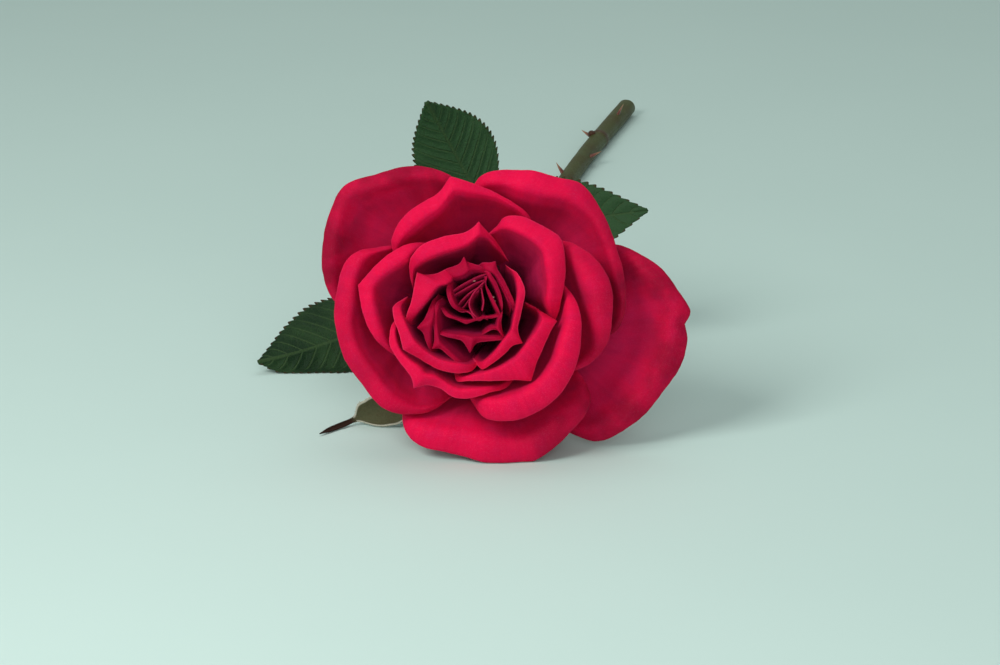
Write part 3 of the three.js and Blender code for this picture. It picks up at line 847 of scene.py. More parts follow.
@dataclass(frozen=True)
class BarkFinish:
    """Green bark of a stem or a leaf stalk, flushed red-brown, with fine lengthwise lines."""

    name: str = "stem_bark"
    green: Colour = (0.055, 0.068, 0.015)
    light: Colour = (0.085, 0.1, 0.025)
    flush: Colour = (0.075, 0.024, 0.014)
    flush_share: float = 0.55
    roughness: float = 0.42
    gloss: float = 0.25
    pore: Colour = (0.2, 0.19, 0.1)
    grain_tint: Colour = (0.6, 0.65, 0.5)
    lines_round: float = 2.2
    lines_along: float = 26.0
    lines_scale: float = 3.2
    cloud_scale: float = 90.0
    pore_scale: float = 420.0
    grain_scale: float = 2600.0

    def build(self) -> Material:
        """Returns the material."""
        shader = Shader(self.name, self.roughness, self.gloss)
        place, turn = shader.place(), shader.math("MULTIPLY", shader.mark("round"), 2.0 * math.pi)
        wheel = shader.vector(
            shader.math("MULTIPLY", shader.math("SINE", turn), self.lines_round),
            shader.math("MULTIPLY", shader.math("COSINE", turn), self.lines_round),
            shader.math("MULTIPLY", shader.mark("along"), self.lines_along),
        )
        lines = shader.noise(wheel, self.lines_scale, 5.0)
        cloud = shader.noise(place, self.cloud_scale)
        pores = shader.spots(place, self.pore_scale)
        grain = shader.noise(place, self.grain_scale, 3.0)
        colour = shader.mix(shader.span(lines, 0.3, 0.7), self.green, self.light)
        colour = shader.mix(shader.span(cloud, 0.42, 0.72, 0.0, self.flush_share), colour, self.flush)
        colour = shader.mix(shader.mark("node"), colour, self.flush)
        colour = shader.mix(shader.span(pores, 0.08, 0.17, 0.45, 0.0), colour, self.pore)
        shader.fix("Base Color", shader.darkened(colour, grain, 0.35, 0.75, 0.3, self.grain_tint))
        shader.fix("Roughness", shader.span(cloud, 0.3, 0.7, 0.36, 0.5))
        bumps = shader.span(pores, 0.06, 0.2, 1.0, 0.0)
        shader.relief([(lines, 0.5, 0.0003), (bumps, 0.4, 0.00015), (grain, 0.25, 0.00006)])
        return shader.material


@dataclass(frozen=True)
class PrickleFinish:
    """Hard red-brown prickle that pales towards its point."""

    name: str = "prickle_horn"
    roughness: float = 0.33
    gloss: float = 0.5
    foot: Colour = (0.12, 0.07, 0.03)
    body: Colour = (0.16, 0.03, 0.02)
    point: Colour = (0.42, 0.24, 0.12)
    grain_tint: Colour = (0.5, 0.4, 0.35)
    grain_scale: float = 1400.0

    def build(self) -> Material:
        """Returns the material."""
        shader = Shader(self.name, self.roughness, self.gloss)
        grain = shader.noise(shader.place(), self.grain_scale, 3.0)
        stops = ((0.0, self.foot), (0.4, self.body), (1.0, self.point))
        colour = shader.ramp(shader.mark("tipward"), stops)
        shader.fix("Base Color", shader.darkened(colour, grain, 0.3, 0.8, 0.4, self.grain_tint))
        shader.relief([(grain, 0.3, 0.0001)])
        return shader.material


@dataclass(frozen=True)
class PithFinish:
    """The stem's fresh cut: a pale pith, a ring of wood and a green rim."""

    name: str = "cut_pith"
    roughness: float = 0.6
    gloss: float = 0.3
    rim: Colour = (0.12, 0.17, 0.05)
    bast: Colour = (0.2, 0.24, 0.09)
    wood: Colour = (0.36, 0.36, 0.17)
    pith: Colour = (0.62, 0.6, 0.42)
    grain_tint: Colour = (0.6, 0.55, 0.4)
    grain_scale: float = 2400.0

    def build(self) -> Material:
        """Returns the material."""
        shader = Shader(self.name, self.roughness, self.gloss)
        grain = shader.noise(shader.place(), self.grain_scale, 3.0)
        stops = ((0.0, self.rim), (0.14, self.bast), (0.3, self.wood), (0.62, self.pith))
        colour = shader.ramp(shader.span(shader.mark("cap"), 1.0, 2.0), stops)
        shader.fix("Base Color", shader.darkened(colour, grain, 0.3, 0.8, 0.4, self.grain_tint))
        shader.relief([(grain, 0.5, 0.0002)])
        return shader.material


@dataclass(frozen=True)
class SepalFinish:
    """Olive-green hip and sepals with a pale woolly margin, a felted inner face and painted shade under the
    petals.
    """

    name: str = "sepal_green"
    roughness: float = 0.75
    gloss: float = 0.06
    green: Colour = (0.036, 0.05, 0.016)
    light: Colour = (0.065, 0.085, 0.032)
    felt: Colour = (0.09, 0.089, 0.047)
    blotch: Colour = (0.05, 0.035, 0.016)
    wool: Colour = (0.5, 0.5, 0.4)
    flush: Colour = (0.03, 0.014, 0.009)
    # Painted shade on the hip's top and the sepals' bases under the petals.
    bed: Colour = (0.05, 0.004, 0.012)
    grain_tint: Colour = (0.55, 0.55, 0.5)
    cloud_scale: float = 260.0
    grain_scale: float = 3000.0

    def build(self) -> Material:
        """Returns the material."""
        shader = Shader(self.name, self.roughness, self.gloss)
        place = shader.place()
        cloud, grain = shader.noise(place, self.cloud_scale), shader.noise(place, self.grain_scale, 3.0)
        colour = shader.mix(shader.span(cloud, 0.3, 0.7), self.green, self.light)
        colour = shader.mix(shader.span(shader.mark("inner"), 0.3, 0.7, 0.0, 0.8), colour, self.felt)
        colour = shader.mix(shader.span(cloud, 0.4, 0.75, 0.0, 0.5), colour, self.blotch)
        colour = shader.mix(shader.span(shader.mark("edge"), 0.05, 0.36, 0.9, 0.0), colour, self.wool)
        colour = shader.mix(shader.mark("tip"), colour, self.flush)
        # Painted shade on the hip's top and the inner bases of the sepals.
        colour = shader.mix(shader.mark("bed"), colour, self.bed)
        shader.fix("Base Color", shader.darkened(colour, grain, 0.4, 0.8, 0.4, self.grain_tint))
        shader.fix("Sheen Weight", 0.04)
        shader.fix("Sheen Roughness", 0.5)
        shader.relief([(cloud, 0.3, 0.0004), (grain, 0.4, 0.0001)])
        return shader.material


@dataclass(frozen=True)
class WoolFinish:
    """Pale wool of the sepals' margins, greener at its roots."""

    name: str = "sepal_wool"
    roughness: float = 0.7
    gloss: float = 0.2
    root: Colour = (0.2, 0.24, 0.12)
    tip: Colour = (0.6, 0.6, 0.46)
    grain_tint: Colour = (0.7, 0.6, 0.4)
    grain_scale: float = 1800.0

    def build(self) -> Material:
        """Returns the material."""
        shader = Shader(self.name, self.roughness, self.gloss)
        grain = shader.noise(shader.place(), self.grain_scale, 2.0)
        colour = shader.mix(shader.mark("tipward"), self.root, self.tip)
        shader.fix("Base Color", shader.darkened(colour, grain, 0.3, 0.8, 0.3, self.grain_tint))
        return shader.material


@dataclass(frozen=True)
class PollenFinish:
    """The few pale specks of pollen-bearing tissue among the petaloids."""

    name: str = "pollen_speck"
    roughness: float = 0.7
    gloss: float = 0.2
    dull: Colour = (0.62, 0.26, 0.22)
    pale: Colour = (0.8, 0.5, 0.42)
    grain_scale: float = 5000.0

    def build(self) -> Material:
        """Returns the material."""
        shader = Shader(self.name, self.roughness, self.gloss)
        grain = shader.noise(shader.place(), self.grain_scale, 2.0)
        shader.fix("Base Color", shader.mix(shader.span(grain, 0.3, 0.7), self.dull, self.pale))
        shader.relief([(grain, 0.6, 0.00008)])
        return shader.material


@dataclass(frozen=True)
class FloorFinish:
    """The plain pale surface that the flower lies on."""

    name: str = "pale_floor"
    roughness: float = 0.8
    gloss: float = 0.2
    colour: Colour = (0.6, 0.77, 0.715)
    cloudy: Colour = (0.53, 0.7, 0.65)
    cloud_scale: float = 14.0

    def build(self) -> Material:
        """Returns the material."""
        shader = Shader(self.name, self.roughness, self.gloss)
        cloud = shader.span(shader.noise(shader.place(), self.cloud_scale), 0.3, 0.7, 0.0, 0.12)
        shader.fix("Base Color", shader.mix(cloud, self.colour, self.cloudy))
        return shader.material


# The bloom


@dataclass
class Petal:
    """One petal: a narrow claw, a wall that bellies out to a crest, and a lip that curls outwards.

    The rim runs anticlockwise as the viewer sees it; each of its points is (u, v, w, lip width).
    Lengths are millimetres. A pair of sizes is for the inner and the outer petals, and changes
    between the two layers of the pair named after it. Layers grow outwards.
    """

    layer: float
    claw: float
    rim: Rim
    cusps: tuple[int, ...] = ()
    ruffle: float = 0.3
    crest: float = 1.0
    spacing: float = 0.62
    lip_rows: int = 9
    thickness: float = 0.34
    # Painted shade at the two ends of the rim.
    age: tuple[float, float] = (0.0, 0.0)

    CLAW_RADIUS = 2.4
    CLAW_PITCH = 0.24
    CLAW_HALF_WIDTH = 0.8
    CLAW_WIDEN = 0.02
    CLAW_DEPTH = -25.0
    CLAW_STEP_BACK = 0.1
    CLAW_SPREAD = 1.8
    FLARE = (0.3, 0.6)
    FLARE_LAYERS = (15.0, 18.0)
    BELLY = 1.3
    BELLY_STEP = 0.1
    LIP_FALL = 0.42
    LIP_BEND = 1.8
    SIDE_STEP = 0.6
    SHORTEST_STRETCH = 0.3
    WALL_ROWS = (
        -0.05, 0, 0.03, 0.06, 0.1, 0.15, 0.2, 0.26, 0.32, 0.38, 0.44, 0.5, 0.56, 0.62, 0.67, 0.72, 0.77,
        0.81, 0.85, 0.885, 0.92, 0.95, 0.975, 1,
    )

    SOFTENED_AREA = 3.2
    LEAST_ROUNDS = 4
    CORNERS_KEPT = 0.15
    CORNERS_FROM = 0.7
    CREST_WIDTH = (0.5, 0.95)
    CREST_WIDEST = (2.4, 4.2)
    CREST_REACH = (2.2, 3.0)
    CREST_LAYERS = (13.0, 17.0)
    CREST_STEADY = 0.6

    WAVE_PITCH = 0.3
    WAVE_FROM = 0.45
    FOLD_PITCH = 0.7
    FOLD_SHARE = 0.35
    NOD_PITCH = 0.42
    NOD_SHARE = 0.7
    NIBBLE_PITCH = 1.6
    NIBBLE = 0.05
    QUIET_END = 4.0
    LIP_HEIGHT = 0.25

    EDGE_WIDTH = 2.2
    EDGE_THINNED = 0.42
    CLAW_THICKENED = 0.14
    CLAW_SHARE = 0.25
    # Painted shade: the depth scale of the hollow colour, the gloom below the crest and the claw's shade.
    HOLLOW_DEPTH = (12.0, 32.0)
    HOLLOW_LAYERS = (2.0, 20.0)
    GLOOM = (0.9, 0.0)
    GLOOM_LAYERS = (6.0, 11.0)
    GLOOM_FADE = (4.0, 14.0)
    GLOOM_FADE_LAYERS = (3.0, 13.0)
    CLAW_SHADE = 0.92
    CLAW_SHADE_FADE = (1.2, 2.5)
    CLAW_SHADE_LAYERS = (6.0, 13.0)
    # Painted highlight on thin edges, stronger on inner petals.
    EDGE_HIGHLIGHT = (0.65, 0.2)
    EDGE_HIGHLIGHT_LAYERS = (5.0, 13.0)
    # Painted shade by the rim's ends fades out this far below the crest.
    SIDE_SHADE_DEPTH = 9.0
    TONE_STEP = 0.37
    FLOOR_GAP = 0.2

    def rim_samples(self) -> tuple[Array, Array]:
        """Points along the rim, close together, through every point of the rim.

        Returns:
            The points, and the place of each one counted in points of the rim.
        """
        knots = np.array(self.rim, float)
        last = len(knots) - 1
        breaks = {0, last, *self.cusps}
        samples, places = [], []
        for i in range(last):
            p1, p2 = knots[i], knots[i + 1]
            p0 = 2 * p1 - p2 if i in breaks else knots[i - 1]
            p3 = 2 * p2 - p1 if i + 1 in breaks else knots[i + 2]
            count = max(int(np.linalg.norm((p2 - p1)[:3]) / self.spacing), 2)
            steps = np.arange(count + (i == last - 1)) / count
            samples.append(spline_stretch((p0, p1, p2, p3), steps, self.SHORTEST_STRETCH))
            places.append(i + steps)
        return np.vstack(samples), np.concatenate(places)

    def surface(self) -> tuple[Array, Array]:
        """The middle of the petal.

        Returns:
            Its grid in the bloom's frame, from claw to rim, and the share of the lip in each row.
        """
        rim, place = self.rim_samples()
        last = len(self.rim) - 1
        at = place / last
        belly = self.BELLY + self.BELLY_STEP * self.layer
        claw_radius = self.CLAW_RADIUS + self.CLAW_PITCH * self.layer
        claw_depth = self.CLAW_DEPTH - self.CLAW_STEP_BACK * self.layer
        claw_half = (self.CLAW_HALF_WIDTH + self.CLAW_WIDEN * self.layer) / claw_radius
        middle = math.radians(self.claw)
        turn = np.arctan2(rim[:, 1], rim[:, 0]) - middle
        angle = np.arctan2(np.sin(turn), np.cos(turn))
        lip = rim[:, 3]
        radius = np.hypot(rim[:, 0], rim[:, 1]) - lip
        depth = rim[:, 2] + lip * self.LIP_FALL
        flare = by_layer(self.layer, self.FLARE, self.FLARE_LAYERS)

        def profile(height: Array) -> Array:
            """Returns how far out the wall is at a share of its height."""
            return flare * height + (1 - flare) * (1 - (1 - height) ** belly)

        def spot(r: Array, a: Array, d: Array) -> Array:
            """Returns a radius, an angle from the claw and a depth as a place in the bloom."""
            return np.stack([r * np.cos(middle + a), r * np.sin(middle + a), d], axis=-1)

        share = (depth - claw_depth) / (depth.max() - claw_depth)
        rows = []
        for h in self.WALL_ROWS:
            out = profile(share * h) / profile(share)
            fan = lerp((2 * at - 1) * claw_half, angle, 1 - (1 - h) ** self.CLAW_SPREAD)
            rows.append(spot(lerp(claw_radius, radius, out), fan, lerp(claw_depth, depth, h)))
        curl = ease(place) * ease(last - place)
        aside = np.where(at < 0.5, -1.0, 1.0) * (1 - curl) * self.SIDE_STEP
        lip_steps = (np.arange(self.lip_rows) + 1) / self.lip_rows
        for step in lip_steps:
            fall = lip * curl * self.LIP_FALL * step**self.LIP_BEND
            rows.append(spot(radius + lip * step * curl, angle + aside * lip * step / radius, depth - fall))
        lips = np.concatenate([np.zeros(len(self.WALL_ROWS)), lip_steps])
        return self.softened(np.array(rows), lips), lips

    def softened(self, grid: Array, lips: Array) -> Array:
        """Rounds the crest, and eases the corners of the rim out of the wall below them.

        Args:
            grid: the petal's grid.
            lips: the share of the lip in each row.

        Returns:
            The smoother grid, with its first and last row where they were.
        """
        height = np.concatenate([np.array(self.WALL_ROWS), np.ones(self.lip_rows)])
        wall = ease((height - self.CORNERS_FROM) / (1 - self.CORNERS_FROM))
        sharp = lerp(self.CORNERS_KEPT, 1.0, ease(lips * 1.3)) * np.where(lips > 0, 1.0, wall)
        rounds = max(int(self.SOFTENED_AREA / self.spacing**2), self.LEAST_ROUNDS)
        soft = smoothed(grid.swapaxes(0, 1), rounds).swapaxes(0, 1)
        grid = lerp(soft, grid, sharp[:, None, None])
        steps = np.linalg.norm(np.diff(grid, axis=0), axis=-1).mean(axis=1)
        run = np.concatenate([[0.0], np.cumsum(steps)])
        crest = run[len(self.WALL_ROWS) - 1]
        reach = max(run[-1] - crest, 0.5)
        share, most, spread = (
            by_layer(self.layer, sizes, self.CREST_LAYERS)
            for sizes in (self.CREST_WIDTH, self.CREST_WIDEST, self.CREST_REACH)
        )
        widest = self.crest * min(share * reach + 0.2, most)
        width = widest * hump(run - crest, spread * reach + 1.0)
        width = np.minimum(width, np.minimum(run, run[-1] - run) * self.CREST_STEADY)
        kernel = np.exp(-(((run[:, None] - run[None]) / np.maximum(width, 1e-3)[:, None]) ** 2) / 2)
        kernel *= np.gradient(run)[None]
        kernel /= kernel.sum(axis=1, keepdims=True)
        return np.einsum("ij,jkl->ikl", kernel, grid)

    def ruffled(self, grid: Array, lips: Array, run: Array) -> Array:
        """Adds the soft waves of a living petal: ripples by the rim, long folds down the wall.

        Args:
            grid: the petal's grid.
            lips: the share of the lip in each row.
            run: how far along the rim each column is, in millimetres.

        Returns:
            The waved grid.
        """
        seed = int(self.layer * 10) + 100 * len(self.rim)
        along, across = np.gradient(grid, axis=0), np.gradient(grid, axis=1)
        normal, upward = unit(np.cross(along, across)), unit(along)
        ends = ease(run / self.QUIET_END) * ease((run[-1] - run) / self.QUIET_END)
        lip = 1 + self.LIP_HEIGHT * lips[lips > 0]
        height = np.concatenate([np.array(self.WALL_ROWS), lip])[:, None] / (1 + self.LIP_HEIGHT)
        wave = Ripple(seed, self.WAVE_PITCH, 2).at(run) * self.ruffle
        fold = Ripple(seed + 1, self.FOLD_PITCH, 2).at(run) * self.ruffle * self.FOLD_SHARE
        nod = Ripple(seed + 2, self.NOD_PITCH, 2).at(run) * self.ruffle * self.NOD_SHARE
        nibble = (Ripple(seed + 3, self.NIBBLE_PITCH).at(run) * self.NIBBLE * ends)[:, None]
        down = np.sin(np.pi * np.clip(height, 0, 1)) ** 1.5
        push = wave * ease((height - self.WAVE_FROM) / (1 - self.WAVE_FROM)) * ends + fold * down * ends
        grid = grid + normal * push[..., None]
        grid[..., 2] += nod * ease(lips)[:, None] * ends
        grid[-1] += upward[-1] * nibble
        grid[-2] += upward[-2] * nibble / 2
        return grid

    def geometry(self) -> Geometry:
        """Returns the finished petal in the row frame."""
        grid, lips = self.surface()
        rim_run = run_along(grid[-1])
        grid = self.ruffled(grid, lips, rim_run)
        steps = np.linalg.norm(np.diff(grid, axis=0), axis=-1)
        run = np.vstack([np.zeros(steps.shape[1]), np.cumsum(steps, axis=0)])
        reach, left = run / run[-1], run[-1] - run
        beside = np.minimum(rim_run, rim_run[-1] - rim_run)
        edge = np.minimum(left, beside[None] + left * 0.25)
        thinned = lerp(self.EDGE_THINNED, 1.0, ease(edge / self.EDGE_WIDTH))
        thickness = self.thickness * thinned + self.CLAW_THICKENED * ease(1 - reach / self.CLAW_SHARE)
        below = np.maximum(run[len(self.WALL_ROWS) - 1] - run, 0.0)
        fade = by_layer(self.layer, self.GLOOM_FADE, self.GLOOM_FADE_LAYERS)
        gloom = by_layer(self.layer, self.GLOOM, self.GLOOM_LAYERS) * ease((below - 0.5) / fade)
        claw_fade = by_layer(self.layer, self.CLAW_SHADE_FADE, self.CLAW_SHADE_LAYERS)
        across = np.linspace(-1.0, 1.0, grid.shape[1])
        side_shaded = np.maximum(lerp(*self.age, ease((across + 1) / 2)), 0.0)
        marks = {
            "reach": reach,
            # Painted shade: the hollow colour comes with distance below the crest.
            "depth": below / by_layer(self.layer, self.HOLLOW_DEPTH, self.HOLLOW_LAYERS),
            "across": across,
            "edge": edge,
            "tone": (self.layer * self.TONE_STEP) % 1 * 10,
            "shade": np.maximum(gloom, self.CLAW_SHADE * ease(1 - reach * claw_fade)),
            # Painted highlight strength on the thin edges.
            "thin": by_layer(self.layer, self.EDGE_HIGHLIGHT, self.EDGE_HIGHLIGHT_LAYERS),
            # Painted shade towards the rim's ends, fading below the crest.
            "age": side_shaded * ease(1 - below / self.SIDE_SHADE_DEPTH),
        }
        return sheet(BLOOM.place(grid, self.FLOOR_GAP), thickness, marks)


# Each petal's layer, the direction of its claw in degrees, and its rim
RIMS: dict[str, tuple[float, float, Rim]] = {
    "petal_outer_right": (
        19, -20,
        [(11.9, -20.7, -17, 1), (17.9, -25.1, -15, 3), (22.6, -26, -14, 4), (29.4, -22.5, -12.5, 4),
         (34.7, -17.2, -11.5, 4), (38.1, -11.5, -11, 4), (39.6, -6.2, -10.5, 4),
         (39.1, -3.6, -10.5, 4), (40.2, -1.3, -10.5, 4), (37.7, 3.2, -10.5, 4), (33, 8.1, -11, 3.5),
         (27.4, 11.5, -12, 2.5), (21.7, 11.4, -14.5, 0.8)],
    ),
    "petal_outer_upper_left": (
        18, 134,
        [(-3.1, 21.1, -15, 0.8), (-6, 24.7, -12, 2), (-10.4, 26.6, -11, 3), (-15.5, 26.4, -10.5, 3),
         (-20.8, 24.7, -10.5, 3), (-26.6, 22.3, -11, 3), (-29.1, 17, -11, 3), (-30.1, 11.9, -11.5, 3),
         (-30, 6.6, -12.5, 2.5), (-28.7, 1.3, -14, 2), (-23.2, -2.5, -17, 1)],
    ),
    "petal_outer_bottom": (
        17, -80,
        [(-13.9, -16.6, -13, 0.7), (-14.9, -20.6, -10, 1), (-14.3, -23.6, -9, 3),
         (-11.7, -26.4, -8, 4.5), (-7.5, -27.9, -6.5, 5.5), (-1.9, -29.1, -6.5, 6),
         (3.8, -30.2, -6.5, 6), (9.4, -30.2, -6.5, 6), (13.6, -27.4, -6.5, 6), (16.6, -24.5, -7, 5),
         (20.2, -20.6, -8, 4), (21.1, -17, -10, 3), (17.5, -11.7, -14, 1)],
    ),
    "petal_outer_upper_right": (
        16, 43,
        [(20.2, -7.5, -14, 0.7), (26, -4.7, -10, 1), (27.9, 0, -8, 1.5), (27, 6.6, -6.5, 2),
         (24.9, 13.8, -6, 2.5), (22.6, 19.1, -5.5, 3.5), (18.9, 23, -5.5, 4.5), (14.2, 24.3, -5, 5),
         (9.1, 25.7, -5, 5), (3.8, 25.7, -5.5, 3.2), (0, 24.2, -7, 2), (-2.4, 20.1, -12, 0.7)],
    ),
    "petal_left": (
        15.3, 196,
        [(-15.3, 11.3, -10, 0.7), (-19.2, 11.3, -7, 2), (-23, 10.4, -5, 3), (-25.7, 7.7, -4.5, 3.5),
         (-27.2, 1.7, -4, 4), (-27.5, -3.8, -4, 4), (-26.2, -9.2, -4, 4), (-22.6, -14.7, -4.5, 4),
         (-18.5, -19.2, -5.5, 3.5), (-14.9, -20.8, -6.5, 3), (-9.8, -20.4, -7.5, 1.5),
         (-4.7, -17, -12, 0.7)],
    ),
    "petal_top": (
        14, 104,
        [(10.3, 12.5, -10, 0.7), (9.4, 16.6, -6.5, 0.8), (6.8, 19.2, -4.5, 1), (2.8, 21.5, -3.5, 1.5),
         (-1.9, 23, -3, 2), (-5.7, 24.3, -2.5, 3), (-7.9, 21.5, -2.5, 3.5), (-11.7, 18.9, -2.5, 3.5),
         (-14.9, 16, -3, 3), (-16.8, 12.3, -4.5, 2), (-16.1, 7.5, -9, 1)],
    ),
    "petal_right": (
        13, -2,
        [(14, -13.8, -11, 1), (21.1, -11.1, -7, 1.5), (24, -7.5, -4.5, 2.5), (24.9, -2.5, -3, 4),
         (24.9, 2.3, -2, 4.5), (23.8, 6.2, -1.5, 5), (21.7, 9.1, -1.5, 4.5), (18.9, 10.9, -2, 3),
         (16.2, 12.1, -3.5, 1.8), (12.3, 11.4, -7, 0.8)],
    ),
    "petal_inner_left": (
        12, 174,
        [(-7.7, 11.7, -8, 0.7), (-10.4, 11.9, -4, 0.8), (-13.6, 11.5, -2, 2), (-17, 9.6, -1.5, 3),
         (-20.4, 6.8, -1, 3), (-23.2, 3.8, -1, 3), (-22.5, 0.4, -1, 2.5), (-20.9, -4.3, -1.5, 2),
         (-19.2, -7.2, -2.5, 1.5), (-16.6, -9.4, -4.5, 1), (-12.2, -11, -9, 0.7)],
    ),
    "petal_inner_lower_right": (
        11, -40,
        [(-3, -15.9, -8, 0.7), (-1.1, -18.9, -4, 1.2), (0.9, -21.5, -1.5, 3.8),
         (4.7, -21.9, -0.5, 4.2), (9.4, -20.8, 0, 4.6), (13.6, -18.1, 0.5, 4.4), (17, -14.2, 0.5, 4.5),
         (18.9, -8.1, 0.5, 4), (18.9, -2.5, 0, 2.5), (17.5, 1.9, -2, 1.2), (14.7, 5.6, -7, 0.7)],
    ),
    "petal_inner_upper_right": (
        10, 30,
        [(12.2, -4.9, -8, 0.7), (14.3, -2.8, -4, 0.7), (15.3, 0.9, -1, 2.8), (16, 5.1, 0, 3.2),
         (15.8, 9.4, 0.5, 3.8), (15.1, 12.6, 0.5, 4), (11.3, 15.3, 0.5, 3.5), (7.5, 16.8, 0, 3),
         (4.7, 16.6, -1, 2), (3.2, 14.9, -3, 1), (1.4, 13.7, -6.5, 0.7)],
    ),
    "petal_inner_top": (
        9.2, 114,
        [(5.4, 9.2, -8.5, 0.7), (3, 11.9, -4, 0.7), (1.3, 13.9, -1.2, 1), (-0.2, 15.8, 0, 2.5),
         (-2.6, 13.8, 0, 2.5), (-6.6, 13, 0.5, 3), (-10.4, 11.5, 0.5, 2.8), (-12.6, 9.4, 0, 2),
         (-13.4, 7.4, -2, 1), (-13.2, 3, -6, 0.7)],
    ),
    "petal_inner_lower_left": (
        9, 232,
        [(-15.4, -1.9, -6, 0.7), (-16.8, -4.3, -2, 0.8), (-17, -7.5, -1.2, 1.2),
         (-15.1, -10.8, -0.8, 1.4), (-13, -13.6, 0.5, 2.5), (-12.5, -15.7, 0, 3),
         (-9.8, -15.1, 0, 2.2), (-7.5, -15.7, -0.5, 1.4), (-4.7, -17.4, -0.5, 1.4),
         (-1.5, -17.5, -0.5, 1.6), (1.9, -16.6, -1, 1.2), (4.9, -15.7, -3.5, 0.8),
         (7.4, -12.2, -8, 0.7)],
    ),
    "petal_fold_bottom": (
        6.7, 320,
        [(-4.8, -11.9, -5, 0.7), (-4.3, -14.3, -2.5, 0.7), (-1.9, -14.3, -0.5, 0.9),
         (3.8, -14.3, 0.5, 2.2), (7.5, -14.2, 0.5, 4), (9.6, -14.3, 0.6, 4.8), (10.4, -11.3, 0.5, 3.5),
         (11.9, -8.1, 0.5, 2.8), (13.4, -4.9, 0.5, 2.2), (14.5, -3, 0, 2.6), (12.1, -1.5, -3, 0.8),
         (9.2, 0.2, -8, 0.7)],
    ),
    "petal_band_left": (
        6, 200,
        [(-14.4, 1.4, -5, 0.7), (-16.4, -0.6, -1.5, 1), (-16, -3.2, 0, 1.6), (-15.1, -5.7, 0.5, 1.8),
         (-14.5, -8.3, 0.8, 2.4), (-11.7, -10, 0, 1.8), (-8.1, -12.1, 0, 1.8), (-4.7, -12.8, 0, 1.7),
         (-1.9, -12.5, -1.5, 1), (-0.3, -11.2, -5, 0.7)],
    ),
    "petal_small_left": (
        5, 148,
        [(-5.3, 7.4, -4, 0.7), (-6.4, 6.8, -1.2, 2), (-7.9, 6.1, -0.5, 3), (-9.4, 5.8, -0.5, 3.6),
         (-10.4, 5.8, -0.5, 4), (-11.9, 6.2, -0.5, 4.8), (-12.3, 3.8, -0.5, 3.6),
         (-12.8, 0.9, -0.5, 2.6), (-13.6, -1.3, -0.8, 1.8), (-14.2, -3.2, -2, 1.2),
         (-13.6, -5.1, -6, 0.7)],
    ),
    "petal_small_right": (
        3.8, -12,
        [(-1.1, -10.8, -6, 0.7), (0.6, -12.1, -1, 1), (1.9, -11.3, -0.3, 1.1), (3.2, -10.4, 0, 1.3),
         (4.7, -9.1, 0.4, 1.7), (6.2, -7.7, 0.5, 2.1), (8.1, -7.2, 0.5, 3), (7.5, -5.9, 0.5, 1.8),
         (7.2, -4.5, 0.5, 1.2), (7.5, -2.5, 0.5, 1), (8.1, 0.4, 0.4, 1), (8.4, 2.5, 0.2, 1),
         (8, 4.2, -0.2, 0.8), (7.2, 5.8, -1.2, 0.6), (5.3, 7.9, -6, 0.5)],
    ),
}


@dataclass
class Bloom:
    """The petals that have a place of their own.

    Cusps are the rim's pointed corners. The second table darkens the two ends of a petal's rim with painted
    shade.
    """

    cusps: dict[str, tuple[int, ...]] = field(
        default_factory=lambda: {
            "petal_outer_right": (7,),
            "petal_top": (5,),
            "petal_inner_left": (5,),
            "petal_inner_top": (3,),
            "petal_inner_lower_left": (5,),
            "petal_fold_bottom": (5, 9),
            "petal_band_left": (4,),
            "petal_small_left": (5,),
            "petal_small_right": (6,),
        }
    )
    # Painted shade for the two ends of each petal's rim.
    ages: dict[str, tuple[float, float]] = field(
        default_factory=lambda: {
            "petal_outer_right": (0.75, 0.75),
            "petal_outer_upper_left": (0.7, 1.0),
            "petal_outer_bottom": (-0.5, 0.9),
            "petal_outer_upper_right": (1.1, -0.3),
            "petal_left": (0.3, 0.4),
            "petal_right": (0.4, 0.4),
            "petal_band_left": (0.15, 0.15),
            "petal_small_left": (0.35, 0.35),
            "petal_small_right": (0.15, 0.15),
        }
    )
    ruffle: tuple[float, float] = (0.16, 0.42)
    ruffle_layers: tuple[float, float] = (4.0, 18.0)
    crest: tuple[float, float] = (0.12, 0.95)
    crest_layers: tuple[float, float] = (6.0, 15.0)

    def build(self, finish: Material) -> None:
        """Makes every petal and dresses it.

        Args:
            finish: the petals' material.
        """
        for node, (layer, claw, rim) in RIMS.items():
            ruffle = by_layer(layer, self.ruffle, self.ruffle_layers)
            crest = by_layer(layer, self.crest, self.crest_layers)
            age = self.ages.get(node, (0.0, 0.0))
            petal = Petal(layer, claw, rim, self.cusps.get(node, ()), ruffle, crest, age=age)
            piece = node.removeprefix("petal_") + "_petal"
            petal.geometry().make(piece, [finish], Slot.PETAL, node)


